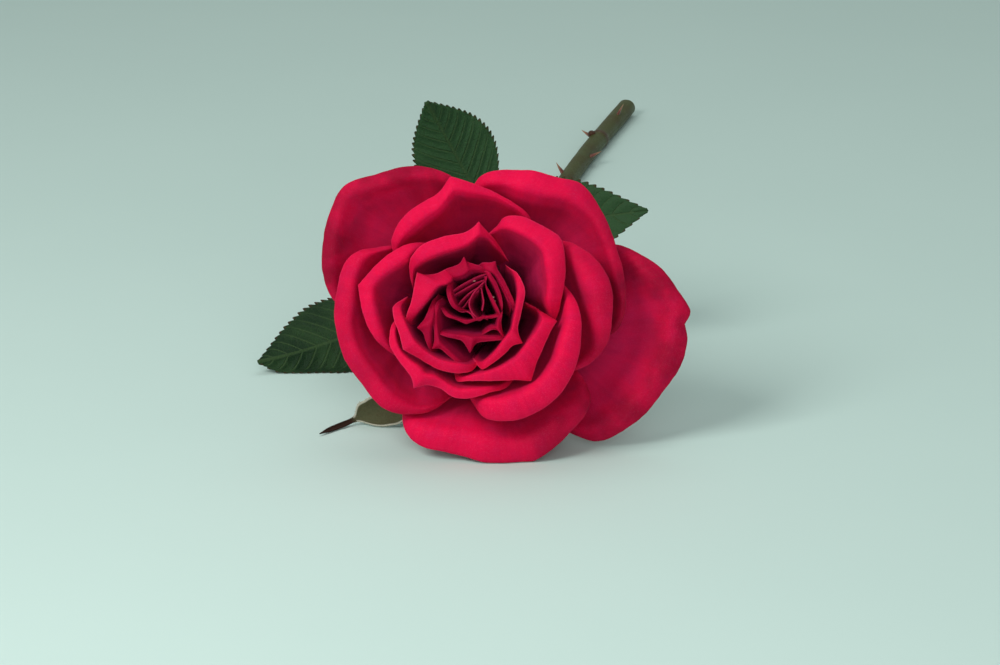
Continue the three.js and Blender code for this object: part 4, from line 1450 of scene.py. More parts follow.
@dataclass
class Heart:
    """The folded petals and petaloids of the dark centre, on the core that they grow from.

    A fold has the direction of its claw, its rim and its pointed corners, as a petal has. Heights
    of a strip are shares of the way from its foot to its rim.
    """

    layer: float = -3.0
    foot: float = -21.0
    foot_reach: float = 0.16
    foot_radius: float = 1.7
    folds: list[tuple[float, Rim, tuple[int, ...]]] = field(
        default_factory=lambda: [
            (102, [(1.7, 6, -5, 0.5), (0.9, 6.8, -1.5, 0.6), (0, 7.4, -0.8, 0.7), (-1.3, 7.8, -0.6, 1),
                  (-2.5, 8.3, -0.5, 1.5), (-3, 9.2, -0.4, 2.8), (-3.8, 7.9, -0.5, 2.3),
                  (-5.3, 7.2, -0.7, 2.3), (-6.8, 6.6, -1.2, 2), (-7.5, 5.3, -4, 1),
                  (-8.1, 4, -8, 0.6)], (5,)),
            (172, [(-5.3, 4.9, -4, 0.4), (-6, 4.2, -1.5, 0.6), (-6.3, 2.8, -1, 0.7),
                  (-6.1, 1.5, -1, 0.7), (-5.6, 0.2, -1.2, 0.7), (-4.7, -0.8, -1.8, 0.6),
                  (-3.4, -1.1, -3.5, 0.5), (-1.9, -1.5, -6, 0.4)], ()),
            (200, [(-8.3, 2.1, -5, 0.4), (-9.2, 0.4, -1.8, 0.7), (-9.9, -1.3, -1, 1.2),
                  (-10.6, -2.8, -0.8, 1.8), (-11.9, -4.3, -0.6, 2.8), (-10.9, -5.1, -0.8, 1.5),
                  (-10.3, -6.6, -1, 0.9), (-9.8, -7.9, -1.5, 0.7), (-9.2, -9.1, -3, 0.5),
                  (-8.5, -9.8, -7, 0.4)], (4,)),
            (216, [(-7.4, 1.3, -4, 0.4), (-8.3, 0.4, -1.5, 0.6), (-8.8, -1.3, -1, 0.6),
                  (-8.9, -3, -1, 0.6), (-8.7, -4.9, -1, 0.7), (-8.6, -6.6, -1, 0.8),
                  (-9.1, -8.3, -0.8, 1.6), (-7.5, -8.3, -1, 0.8), (-6, -9.6, -1.2, 0.7),
                  (-4.3, -10.9, -1.5, 0.6), (-2.8, -11.8, -2.5, 0.5), (-1.3, -11.9, -6, 0.4)], (6,)),
            (262, [(-8.7, -4.5, -5, 0.4), (-7.5, -5.6, -1.5, 0.6), (-6, -6.1, -1, 0.8),
                  (-4.2, -6.5, -0.9, 0.9), (-3.2, -7, -0.8, 1.3), (-1.9, -9.1, -0.6, 2.8),
                  (-0.8, -7.3, -0.8, 1.3), (0.8, -6.9, -0.9, 0.8), (2.8, -6.7, -1, 0.7),
                  (4.3, -6.6, -1.5, 0.6), (5.3, -5.7, -4, 0.4)], (5,)),
            (265, [(-7.9, 0.8, -6, 0.4), (-7.5, -0.4, -3, 0.4), (-6.4, -2.1, -2.5, 0.5),
                  (-4.7, -2.7, -2.8, 0.4), (-2.6, -3.6, -3, 0.5), (-0.9, -3, -3, 0.4),
                  (0.8, -2.5, -2.8, 0.5), (2.3, -2.5, -2.8, 0.4), (3.8, -2.1, -2.5, 0.5),
                  (4.3, -0.9, -6, 0.4)], (4,)),
            (308, [(0, -6, -5, 0.3), (1.1, -5.3, -2, 0.4), (2.5, -4.6, -1.2, 0.7), (3.6, -4.9, -1, 1.2),
                  (4.6, -6.4, -0.8, 2.2), (4.1, -4.5, -1, 1.1), (4, -3, -1.2, 0.8),
                  (4.2, -2.1, -1.5, 0.6), (4.7, -0.8, -5, 0.4)], (4,)),
            (10, [(4, -2.8, -5, 0.3), (3.8, -1.7, -2.2, 0.4), (3.2, -0.2, -1.8, 0.5),
                  (2.5, 1.3, -1.6, 0.5), (1.7, 2.8, -1.5, 0.5), (1.1, 4.2, -1.4, 0.5),
                  (1.3, 5.3, -1.3, 0.6), (0.8, 5.8, -3, 0.4)], ()),
            (20, [(4.3, -2.1, -5, 0.3), (4.3, 0, -2, 0.4), (4, 1.9, -1.6, 0.5), (3.4, 3.6, -1.3, 0.6),
                  (2.6, 5.1, -1, 0.7), (1.7, 6.4, -0.8, 0.9), (0.9, 7, -2, 0.5)], ()),
            (40, [(6.8, -1.9, -5, 0.4), (6.6, 0, -2, 0.5), (5.9, 1.9, -1.5, 0.6), (5.1, 3.6, -1, 0.7),
                  (4.2, 5.3, -0.8, 0.8), (3.3, 6.8, -0.6, 0.9), (2.9, 8.3, -0.5, 1.9),
                  (1.9, 8, -0.7, 1.6), (0.8, 8.1, -1.2, 1.2), (-0.4, 8.1, -4, 0.7)], (6,)),
            (32, [(6, -2.3, -6, 0.3), (5.8, 0, -3, 0.3), (5.1, 2.1, -2.2, 0.4), (4.2, 4, -1.8, 0.4),
                  (3.2, 5.5, -1.6, 0.4), (2.3, 6.6, -2.5, 0.3)], ()),
        ]
    )
    fold_shade: float = 0.66
    petaloids: list[list[Point]] = field(
        default_factory=lambda: [
            [(1.5, 5.7, -2), (0, 5.3, -2), (-1.3, 4.7, -2.2), (-2.8, 3.9, -2.5), (-4.3, 3, -2.8),
             (-5.5, 2.1, -3.4)],
            [(0.9, 4.5, -2.8), (-0.6, 4, -3), (-1.9, 3.3, -3.2), (-3.4, 2.5, -3.5), (-4.7, 1.8, -3.8),
             (-5.5, 1.5, -4.4)],
            [(0.8, 4.2, -2.6), (0, 3.4, -2.8), (-0.8, 2.5, -3), (-1.5, 1.3, -3.2), (-1.8, 0.2, -3.4),
             (-1.5, -0.9, -3.5), (-0.8, -1.9, -3.6), (-0.2, -2.5, -4)],
            [(0.2, 3, -3.6), (0.4, 1.7, -3.8), (0.5, 0.4, -4), (0.3, -0.8, -4.4)],
            [(0.4, 3.4, -3.4), (-1.1, 2.6, -3.6), (-2.5, 1.5, -3.9), (-3.6, 0.4, -4.2),
             (-4.3, -0.7, -4.6)],
            [(-0.2, 2.6, -4.2), (-1.5, 1.3, -4.5), (-2.6, 0, -4.8), (-3.4, -0.8, -5.2)],
            [(-4.2, -0.8, -4.4), (-3.2, -1.2, -4), (-2.3, -1.1, -4), (-1.5, -1.5, -3.8),
             (-0.8, -2.5, -3.6), (0, -2.6, -3.4), (0.6, -2.2, -3.2), (1.3, -2.5, -3.6)],
        ]
    )
    specks: tuple[Point, ...] = (
        (-1.1, 4.7, -3.4), (0.1, 3.4, -4.2), (1.3, 6.8, -3.2), (2.5, 1.5, -3.2), (2.8, 0.8, -3.5),
        (-2.2, 2.0, -5.0), (0.6, 1.0, -5.4), (3.2, 3.1, -4.0),
    )

    speck_sizes: tuple[float, float] = (0.16, 0.28)
    seed: int = 5

    FOLD = {"ruffle": 0.06, "crest": 0.16, "spacing": 0.36, "lip_rows": 7, "thickness": 0.22}
    STRIP_ROWS = 20
    STRIP_HEIGHTS = (0, 0.3, 0.65, 1)
    STRIP_OUT = (0, 0.31, 0.74, 1)
    STRIP_DOWN = (1, 0.7, 0.36, 0)
    STRIP_THICKNESS = (0.38, 0.26)
    CURL_FROM = 0.88
    CURL = 0.28
    CURL_FALL = 0.3
    CORE = ((0.05, -26.8), (2.0, -26.7), (2.2, -24), (2.0, -20.6), (1.2, -20.05), (0.05, -20))
    CORE_SIDES = 24
    # The core takes the darkest painted shade of the petal finish.
    CORE_MARKS = {"reach": 0.14, "depth": 1.0, "shade": 0.6, "edge": 5.0, "face": 1.0}
    SPECK_RINGS = 7
    SPECK_SIDES = 8
    SPECK_HEIGHT = 0.8

    def petaloid(self, number: int, rim: list[Point]) -> Geometry:
        """A narrow bent strip whose foot is sunk in the core and whose rim curls out a little.

        Args:
            number: which one it is, for its tone.
            rim: its rim, as (u, v, w) points.

        Returns:
            The strip in the row frame.
        """
        line = Curve(tuple(rim)).samples(8 * len(rim))
        length = np.hypot(line[:, 0], line[:, 1])
        share = np.linspace(0.0, 1.0, self.STRIP_ROWS)[:, None]
        foot_reach = np.minimum(self.foot_reach, self.foot_radius / length)
        out = lerp(foot_reach, 1.0, np.interp(share, self.STRIP_HEIGHTS, self.STRIP_OUT))
        down = np.interp(share, self.STRIP_HEIGHTS, self.STRIP_DOWN)
        curl = ease((share - self.CURL_FROM) / (1 - self.CURL_FROM)) * self.CURL
        flat = out + curl / np.maximum(length, 0.8)
        depth = lerp(line[:, 2], self.foot, down) - curl * self.CURL_FALL
        grid = np.stack([line[:, 0] * flat, line[:, 1] * flat, depth], axis=-1)
        steps = np.arange(len(line))
        beside = np.minimum(steps, steps[::-1]) * 0.35
        marks = {
            "reach": lerp(0.3, 0.8, share),
            # Painted shade, darker towards the strip's foot.
            "depth": lerp(1.0, 0.2, share),
            "across": np.linspace(-1, 1, len(line)),
            "edge": np.minimum((1 - share) * 18.0, beside + (1 - share) * 6.0),
            "tone": 3.7 * number,
            "shade": lerp(0.85, 0.6, share),
            # Painted highlight on the strip's edges.
            "thin": 0.6,
        }
        return sheet(BLOOM.place(grid), lerp(*self.STRIP_THICKNESS, share), marks)

    def core(self) -> Geometry:
        """Returns the top of the receptacle that all of them grow from."""
        radii, depths = np.array(self.CORE).T
        body = tube(axis_line(depths), radii, self.CORE_SIDES, self.CORE_MARKS)
        body.vertices = BLOOM.place(body.vertices)
        return body

    def speck(self, place: Point, size: float) -> Geometry:
        """A rough little grain.

        Args:
            place: its middle, in the bloom's frame.
            size: its radius.

        Returns:
            The grain in the row frame.
        """
        rings = np.linspace(0.0, math.pi, self.SPECK_RINGS)
        line = np.array(place) + axis_line(-np.cos(rings) * size * self.SPECK_HEIGHT)
        body = tube(line, np.sin(rings) * size + 0.01, self.SPECK_SIDES, {})
        body.vertices = BLOOM.place(body.vertices)
        return body

    def build(self, petal: Material, pollen: Material) -> None:
        """Makes the centre of the bloom.

        Args:
            petal: the petals' material.
            pollen: the specks' material.
        """
        whole = self.core()
        for number, (claw, rim, cusps) in enumerate(self.folds):
            fold = Petal(self.layer, claw, rim, cusps, **self.FOLD).geometry()
            fold.marks["shade"] = np.maximum(fold.marks["shade"], self.fold_shade)
            fold.marks["tone"] += number
            whole.add(fold)
        for number, rim in enumerate(self.petaloids):
            whole.add(self.petaloid(number, rim))
        draw = np.random.default_rng(self.seed)
        for place in self.specks:
            whole.add(self.speck(place, draw.uniform(*self.speck_sizes)), 1)
        whole.make("heart_folds", [petal, pollen], Slot.PETALOID, "heart_petaloids")


# The green parts


@dataclass
class Calyx:
    """The hip, a green cup under the petals, and its five sepals with their woolly margins.

    The first sepal is the one with the dry brown tip.
    """

    hip: tuple[tuple[float, float], ...] = (
        (0.05, -38.7), (2.1, -38.6), (2.9, -38.1), (4.3, -36.4), (4.9, -34.2), (5.2, -32.4),
        (6.2, -30.6), (6.9, -29.2), (6.6, -28.6), (2.4, -26.2), (0.05, -26.1),
    )
    hollow: float = 0.28
    thickness: float = 0.45
    sepals: tuple[tuple[float, tuple[Station, ...]], ...] = (
        (218, ((4.5, -28.8, 2.3, 18), (14.4, -29.2, 3.6, 18.3), (22.1, -27.6, 4.3, 14.4),
               (27.3, -26.4, 4.0, 9.8), (31.3, -26.8, 2.5, 5.7), (32.6, -27, 0.35, 4.4),
               (36.5, -24.8, 0.6, 2.3), (39.8, -21, 0.3, 0.6))),
        (290, ((4.5, -29.3, 2.3, 0), (8.5, -30.4, 2.7, 0), (12.5, -33, 2.5, 0), (15.5, -37, 1.9, 0),
               (17.2, -41, 1.1, 0), (18, -45.5, 0.5, 0))),
        (2, ((4.5, -29.3, 2.3, 0), (9.5, -30.6, 2.7, 0), (14, -33, 2.5, 0), (17.5, -36.5, 1.9, 0),
             (20, -40.5, 1.1, 0), (21, -45, 0.5, 0))),
        (75, ((4.5, -29.3, 2.3, 0), (9.5, -30.4, 2.7, 0), (14.5, -32.2, 2.5, 0), (18.5, -35, 1.9, 0),
              (21.5, -38.5, 1.1, 0), (23, -43, 0.5, 0))),
        (146, ((4.5, -29.3, 2.3, 0), (9.5, -30.6, 2.7, 0), (14, -32.8, 2.5, 0), (18, -36, 1.9, 0),
               (20.5, -40, 1.1, 0), (21.5, -44.5, 0.5, 0))),
    )
    hairs_a_side: int = 240
    seed: int = 40

    CUP_RINGS = 60
    CUP_SIDES = 48
    RIBS = 5
    RIB_HEIGHT = 0.012
    # Where the painted shade lies: the hip's top rings and the sepals inside this radius.
    BED_RING = 43
    BED_RINGS = 5
    BED_RADIUS = 10.5
    BED_FADE = 2.0
    BLADE_ROWS = 90
    BLADE_COLUMNS = 17
    END_NARROWED = 0.85
    MARGIN_WAVE = 0.09
    WAVE_PITCH = 20.0
    MIDRIB = 0.12
    MIDRIB_WIDTH = 0.18
    TWIST = 0.21
    FLOOR_GAP = 0.25
    HAIR_LENGTH = (0.3, 0.85)
    HAIR_RADIUS = 0.06
    HAIR_SUNK = 0.08
    HAIR_FLOOR_GAP = 0.05
    WITHERED_WOOL_END = 0.78
    WITHERED_TIP = (0.75, 0.04, 1.0)
    FRESH_TIP = (0.7, 0.3, 0.5)

    def cup(self) -> Geometry:
        """Returns the hip, with faint ribs."""
        outline = np.array(self.hip)
        run = run_along(outline)
        even = np.linspace(0, run[-1], self.CUP_RINGS)
        radius, depth = (smoothed(np.interp(even, run, outline[:, k]), 3) for k in (0, 1))
        wave = np.cos(self.RIBS * turns(self.CUP_SIDES))[None] * ease((depth[:, None] + 38) / 6)
        # Painted shade on the hip's top, under the petals.
        bed = ease((np.arange(self.CUP_RINGS) - self.BED_RING) / self.BED_RINGS)
        radii = radius[:, None] * (1 + self.RIB_HEIGHT * wave)
        body = tube(axis_line(depth), radii, self.CUP_SIDES, {"edge": 5.0, "bed": bed})
        body.vertices = BLOOM.place(body.vertices)
        return body

    def wool(self, blade: Array, end: float, seed: int) -> Geometry:
        """The hairs on both margins of a sepal.

        Args:
            blade: the sepal's grid in the row frame.
            end: the share of its length past which it has none.
            seed: for their places and lengths.

        Returns:
            The hairs.
        """
        draw = np.random.default_rng(seed)
        whole = Geometry.empty()
        last = len(blade) - 1
        for edge, inner in ((0, 1), (-1, -2)):
            for _ in range(self.hairs_a_side):
                row = draw.uniform(0, last - 0.01)
                i = int(row)
                if i / last > end:
                    continue
                root = lerp(blade[i, edge], blade[i + 1, edge], row - i)
                outward = unit(blade[i, edge] - blade[i, inner])
                forward = unit(blade[i + 1, edge] - blade[i, edge])
                lean = outward + forward * draw.uniform(-0.5, 0.9) + draw.uniform(-0.45, 0.45, 3)
                direction = unit(lean)
                length = draw.uniform(*self.HAIR_LENGTH) * (1 - 0.5 * i / last)
                tip = root + direction * length
                tip[2] = max(tip[2], self.HAIR_FLOOR_GAP)
                foot, bend = root - direction * self.HAIR_SUNK, draw.uniform(-0.1, 0.1, 3)
                whole.add(spike(foot, tip, self.HAIR_RADIUS, 3, bend))
        return whole

    def sepal(self, turn: float, path: tuple[Station, ...], seed: int) -> Geometry:
        """One sepal with its wool.

        Args:
            turn: its direction round the axis, in degrees.
            path: stations along it: distance from the axis, depth, half width and sway in degrees.
            seed: for its waves and its hairs.

        Returns:
            The sepal, with the wool as finish 1.
        """
        stations = []
        for out, depth, _, sway in path:
            angle = math.radians(turn + sway)
            stations.append((out * math.cos(angle), out * math.sin(angle), depth))
        line = Curve(tuple(stations)).samples(self.BLADE_ROWS)
        share = np.linspace(0.0, 1.0, self.BLADE_ROWS)
        run = run_along(np.array(stations))
        half = smoothed(np.interp(share, run / run[-1], [station[2] for station in path]), 5)
        half = (half * (1 - self.END_NARROWED * ease((share - 0.93) / 0.07)))[:, None]
        outward = unit(line[:, :2])
        withered = turn == self.sepals[0][0]
        side = np.linspace(-1.0, 1.0, self.BLADE_COLUMNS)
        waves = 1 + self.MARGIN_WAVE * Ripple(seed, self.WAVE_PITCH).at(share)
        reach = half * waves[:, None] * side
        groove = self.MIDRIB * hump(side, self.MIDRIB_WIDTH) * (1 - share[:, None])
        twist = 0.0 if withered else self.TWIST * (1 if seed % 2 else -1)
        height = self.hollow * half * side**2 - groove
        height = height + twist * ease((share - 0.45) / 0.55)[:, None] * side * half
        grid = np.stack(
            [
                line[:, :1] + reach * outward[:, 1:],
                line[:, 1:2] - reach * outward[:, :1],
                line[:, 2:] + height,
            ],
            axis=-1,
        )
        start, length, depth = self.WITHERED_TIP if withered else self.FRESH_TIP
        brown = depth * ease((share - start) / length)
        marks = {
            "edge": half * (1 - np.abs(side)) + 3.0 * (brown[:, None] > 0.6),
            "tip": brown[:, None],
            # Painted shade on the inner face near the axis.
            "bed": ease((self.BED_RADIUS - np.linalg.norm(line[:, :2], axis=1)) / self.BED_FADE)[:, None],
        }
        placed = BLOOM.place(grid, self.FLOOR_GAP)
        blade = sheet(placed, self.thickness * lerp(1.0, 0.6, share)[:, None], marks)
        blade.marks["inner"] = np.clip(-blade.marks["face"], 0, 1)
        blade.marks["bed"] *= blade.marks["inner"]
        blade.add(self.wool(placed, self.WITHERED_WOOL_END if withered else 1.0, seed), 1)
        return blade

    def build(self, green: Material, wool: Material) -> None:
        """Makes the calyx.

        Args:
            green: the material of the hip and sepals.
            wool: the material of the hairs.
        """
        whole = self.cup()
        for number, (turn, path) in enumerate(self.sepals):
            whole.add(self.sepal(turn, path, self.seed + number))
        whole.vertices[:, 2] = np.maximum(whole.vertices[:, 2], 0.0)
        whole.make("calyx_hip_and_sepals", [green, wool], Slot.CALYX, "calyx")


@dataclass
class Stem:
    """The cut stem with its prickles and the scars of the leaves that were taken off.

    Places along it are shares of its length. Its end at the hip is let into the hip.
    """

    path: tuple[Point, ...] = (
        (0, 37, 18.6), (0.4, 52, 13.7), (2, 75, 7.4), (5.3, 105, 3.4), (12.2, 150, 1.96),
        (23.5, 205, 1.94), (35.2, 252, 1.94),
    )
    radii: tuple[float, float] = (1.9, 2.15)
    prickles: int = 9
    first: float = 0.3
    last: float = 0.94
    prickle_length: float = 3.4
    prickle_sunk: float = 1.3
    swing: float = 1.25
    rings: int = 300
    sides: int = 28
    let_in: float = 0.9
    scars: tuple[float, ...] = (0.43, 0.66, 0.86)
    seed: int = 3

    NODE_SWELLING = 0.11
    NODE_LENGTH = 0.006
    COLLAR_SWELLING = 0.16
    COLLAR_LENGTH = 0.008
    WAVE = 0.012
    WAVE_PITCH = 60.0
    PRICKLE_RINGS = 12
    PRICKLE_SIDES = 12
    PRICKLE_FOOT = (0.5, 1.5)
    PRICKLE_HOOK = 1.1
    BUD_RADIUS = 0.95
    BUD_RISE = 1.5
    BUD_LENGTH = 1.9
    BUD_RINGS = 10
    BUD_SIDES = 12

    def centre(self) -> Array:
        """Returns the points of the stem's middle line."""
        return Curve(self.path).samples(self.rings)

    def bark(self) -> Geometry:
        """Returns the stem, fuller at its nodes."""
        line = self.centre()
        line[0] += unit(line[0] - line[1]) * self.let_in
        share = np.linspace(0.0, 1.0, self.rings)
        node = sum(hump(share - scar, self.NODE_LENGTH) for scar in self.scars)
        radius = lerp(*self.radii, share) * (1 + self.NODE_SWELLING * node)
        radius = radius * (1 + self.WAVE * Ripple(self.seed, self.WAVE_PITCH).at(share))
        radius = radius * (1 + self.COLLAR_SWELLING * np.exp(-share / self.COLLAR_LENGTH))
        turn = turns(self.sides)
        uneven = 1 + 0.02 * np.sin(3 * turn[None] + 9 * share[:, None]) + 0.01 * np.sin(5 * turn)[None]
        body = tube(line, radius[:, None] * uneven, self.sides, {"along": share * 8, "node": 0.8 * node})
        cut_faces = 2 * self.sides
        body.finish[-cut_faces:] = [2] * cut_faces
        return body

    def prickle(self, number: int) -> Geometry:
        """One curved prickle, flat from the side, that points a little back down the stem.

        Args:
            number: which one it is.

        Returns:
            The prickle.
        """
        rings, sides = self.PRICKLE_RINGS, self.PRICKLE_SIDES
        line = self.centre()
        share = lerp(self.first, self.last, number / (self.prickles - 1))
        at = int(round(share * (self.rings - 1)))
        swing = math.sin(number * GOLDEN_TURN) * self.swing
        outward = np.array([math.sin(swing), 0.0, math.cos(swing)])
        side = unit(np.cross(outward, unit(np.gradient(line, axis=0))[at]))
        forward = np.cross(side, outward)
        steps = np.linspace(0.0, 1.0, rings)
        spine = line[at] + outward * self.prickle_sunk + np.outer(steps * self.prickle_length, outward)
        spine = spine + np.outer(self.PRICKLE_HOOK * steps**2.2, forward)
        wide, long = self.PRICKLE_FOOT
        ring = np.outer(np.cos(turns(sides)), side) * wide + np.outer(np.sin(turns(sides)), forward) * long
        taper = (1 - steps) ** 0.85 * 0.98 + 0.015
        skin = spine[:, None] + ring[None] * taper[:, None, None]
        vertices = np.vstack([skin.reshape(-1, 3), spine[:1], spine[-1:] + outward * 0.05])
        last, foot, point = (rings - 1) * sides, rings * sides, rings * sides + 1
        faces: list[tuple[int, ...]] = []
        for start in range(0, last, sides):
            for j in range(sides):
                k = (j + 1) % sides
                faces.append((start + j, start + sides + j, start + sides + k, start + k))
        for j in range(sides):
            k = (j + 1) % sides
            faces.append((j, k, foot))
            faces.append((last + k, last + j, point))
        marks = {"tipward": np.concatenate([np.repeat(steps, sides), [0.0, 1.0]])}
        return Geometry(vertices, faces, [0] * len(faces), marks)

    def bud(self, share: float, turn: float) -> Geometry:
        """A small resting bud over the scar of a leaf.

        Args:
            share: how far down the stem it is.
            turn: which way it faces.

        Returns:
            The bud.
        """
        line = self.centre()
        at = int(share * (self.rings - 1))
        tangent = unit(line[at + 1] - line[at])
        outward = np.array([math.sin(turn), 0.0, math.cos(turn)])
        steps = np.linspace(0.0, 1.0, self.BUD_RINGS)
        spine = line[at] + outward * 1.5 - tangent * 0.9
        spine = spine + np.outer(steps * self.BUD_RISE, outward) - np.outer(steps * self.BUD_LENGTH, tangent)
        radius = self.BUD_RADIUS * np.sin(np.pi * np.clip(steps * 0.93 + 0.05, 0, 1)) ** 0.8 + 0.02
        return tube(spine, radius, self.BUD_SIDES, {"along": steps, "node": 0.9})

    def build(self, bark: Material, horn: Material, pith: Material) -> None:
        """Makes the stem.

        Args:
            bark: its own material.
            horn: the prickles' material.
            pith: the material of the fresh cut.
        """
        whole = self.bark()
        for number in range(self.prickles):
            whole.add(self.prickle(number), 1)
        for number, scar in enumerate(self.scars):
            whole.add(self.bud(scar, 0.9 * math.cos(number * 2.0)))
        whole.vertices = row_frame(whole.vertices)
        whole.make("stem_with_prickles", [bark, horn, pith], Slot.STEM, "stem")


@dataclass(frozen=True)
class Leaflet:
    """One leaflet: its base and tip, the way across it and half its width."""

    base: Point
    tip: Point
    across: Point
    half_width: float


@dataclass
class Leaf:
    """A compound leaf: a stalk with toothed leaflets, veined and folded along their midribs.

    Lengths are millimetres. Places on a leaflet are shares of its length or of its half width.
    """

    name: str
    node: str
    rachis: tuple[Point, ...]
    leaflets: tuple[Leaflet, ...]
    radii: tuple[float, float] = (0.95, 0.6)
    thickness: float = 0.34
    widest: float = 0.42
    base_round: float = 0.6
    tip_sharp: float = 1.1
    midrib: float = 0.35
    fold: float = 0.2
    arch: float = 0.35
    teeth: int = 22
    rows_a_tooth: int = 6
    veins: int = 9
    vein_lean: float = 0.75
    # Painted light: how much lighter green is laid over this leaf.
    youth: float = 0.0
    let_in: float = 0.6
    seed: int = 60

    COLUMNS = 41
    COLUMN_CROWDING = 0.94
    TOOTH_RISE = 0.8
    TOOTH_REACH = 0.4
    TOOTH_NOTCH = 0.075
    MARGIN_FROM = 0.8
    SWEEP = 0.12
    VEIN_WIDTH = 0.45
    MIDRIB_WIDTH = 0.5
    QUILT = 0.16
    MARGIN_WAVE = 0.35
    WAVE_PITCH = 9.0
    MARGIN_THINNED = 0.55
    VEIN_THICKENED = 0.1
    MIDRIB_THICKENED = 0.25
    FLOOR_GAP = 0.22
    FLOOR_GIVE = 0.4
    FACES = (0.0, -0.35, 1.0)
    STALK_RINGS = 60
    STALK_SIDES = 14
    FOOT_SHARE = 0.12
    FOOT_SWELLING = 0.6
    PRICKLE_RINGS = range(9, 52, 7)
    PRICKLE_RADIUS = 0.22
    PRICKLE_SIDES = 6

    def outline(self, share: Array) -> Array:
        """The half width of a leaflet as a share of its widest.

        Args:
            share: places from its base to its tip, 0 to 1.

        Returns:
            The half width at each of them.
        """
        rise = np.sin(np.pi / 2 * np.clip(share / self.widest, 0, 1)) ** self.base_round
        past = np.clip((share - self.widest) / (1 - self.widest), 0, 1)
        return np.where(share < self.widest, rise, np.cos(np.pi / 2 * past).clip(0) ** self.tip_sharp)

    def blade(self, leaflet: Leaflet, seed: int) -> Geometry:
        """One leaflet.

        Args:
            leaflet: its place and size.
            seed: for its waves.

        Returns:
            The leaflet.
        """
        start, along = np.array(leaflet.base), np.array(leaflet.tip) - np.array(leaflet.base)
        length = np.linalg.norm(along)
        along = along / length
        side = np.array(leaflet.across)
        side = unit(side - along * (side @ along))
        up = np.cross(along, side)
        shares = np.linspace(0.0, 1.0, self.teeth * self.rows_a_tooth + 1)
        share = shares[:, None]
        quarter = np.pi / 2 * self.COLUMN_CROWDING
        place = np.sin(np.linspace(-1.0, 1.0, self.COLUMNS) * quarter) / math.sin(quarter)
        off_middle = np.abs(place)
        half = self.midrib + leaflet.half_width * self.outline(share)
        phase = share * self.teeth % 1.0
        saw = np.where(phase < self.TOOTH_RISE, phase / self.TOOTH_RISE, (1 - phase) / (1 - self.TOOTH_RISE))
        rim = ease((off_middle - self.MARGIN_FROM) / (1 - self.MARGIN_FROM))
        reach = half * place * (1 - self.TOOTH_NOTCH * (1 - saw) * rim)
        sweep = self.SWEEP * half * off_middle**1.6 * (1 - share) ** 0.3
        forward = length * share + self.TOOTH_REACH * saw * rim * (share < 0.97) + sweep
        forward = np.minimum(forward, length)
        origin = share - self.vein_lean * np.abs(reach) / length - 0.05 * place**2
        course = origin * (self.veins + 1)
        vein_place = course % 1.0
        pitch = length * 0.8 / (self.veins + 1)
        near = np.minimum(vein_place, 1 - vein_place) * pitch
        fade = lerp(1.0, 0.25, ease((off_middle - 0.55) / 0.4)) * ease(origin * 20)
        middle = hump(reach, self.MIDRIB_WIDTH)
        ridge = np.maximum(hump(near, self.VEIN_WIDTH) * fade, middle)
        quilt = np.sin(np.pi * vein_place) ** 2 * ease(off_middle * 3) * ease((1 - off_middle) * 3)
        ripple = Ripple(seed, self.WAVE_PITCH).at(shares)[:, None] * np.sin(np.pi * share)
        wave = self.MARGIN_WAVE * ripple * off_middle**2
        lift = self.fold * np.abs(reach) + self.arch * length * (share * (1 - share))
        lift = lift + self.QUILT * quilt - 0.08 * ridge + wave
        grid = start + forward[..., None] * along + reach[..., None] * side + lift[..., None] * up
        thinned = self.thickness * lerp(1.0, self.MARGIN_THINNED, rim)
        marks = {
            "course": course,
            "pitch": pitch,
            "vein": fade,
            "off_rib": np.abs(reach),
            "youth": self.youth,
            "tooth": rim * np.clip(saw * 1.2 - 0.1, 0, 1) * (off_middle > 0.9),
        }
        blade = sheet(
            row_frame(grid, self.FLOOR_GAP, self.FLOOR_GIVE),
            thinned + self.VEIN_THICKENED * ridge + self.MIDRIB_THICKENED * middle,
            marks,
        )
        if up @ np.array(self.FACES) < 0:
            blade.marks["face"] *= -1
        return blade

    def stalk(self, line: Array) -> Geometry:
        """The leaf's stalk, let into the stem at its foot.

        Args:
            line: its middle, from the foot on.

        Returns:
            The stalk.
        """
        line = line.copy()
        line[0] += unit(line[0] - line[1]) * self.let_in
        share = np.linspace(0.0, 1.0, len(line))
        foot = ease(1 - share / self.FOOT_SHARE)
        radius = lerp(*self.radii, share) * (1 + self.FOOT_SWELLING * foot)
        return tube(line, radius, self.STALK_SIDES, {"along": share, "node": 0.6 * foot})

    def build(self, green: Material, bark: Material, horn: Material) -> None:
        """Makes the leaf.

        Args:
            green: the leaflets' material.
            bark: the stalk's material.
            horn: the material of the small prickles under the stalk.
        """
        whole = Geometry.empty()
        for number, leaflet in enumerate(self.leaflets):
            whole.add(self.blade(leaflet, self.seed + number))
        line = row_frame(Curve(self.rachis).samples(self.STALK_RINGS))
        whole.add(self.stalk(line), 1)
        draw = np.random.default_rng(len(self.leaflets))
        for at in self.PRICKLE_RINGS:
            down = np.array([draw.uniform(-0.4, 0.4), draw.uniform(-0.4, 0.4), -1.0])
            back = unit(line[at - 1] - line[at])
            down = unit(down - back * (down @ back))
            root, tip = line[at] + down * 0.5, line[at] + down * 1.7 + back * 0.5
            whole.add(spike(root, tip, self.PRICKLE_RADIUS, self.PRICKLE_SIDES, down * 0.1), 2)
        whole.make(self.name, [green, bark, horn], Slot.LEAF, self.node)


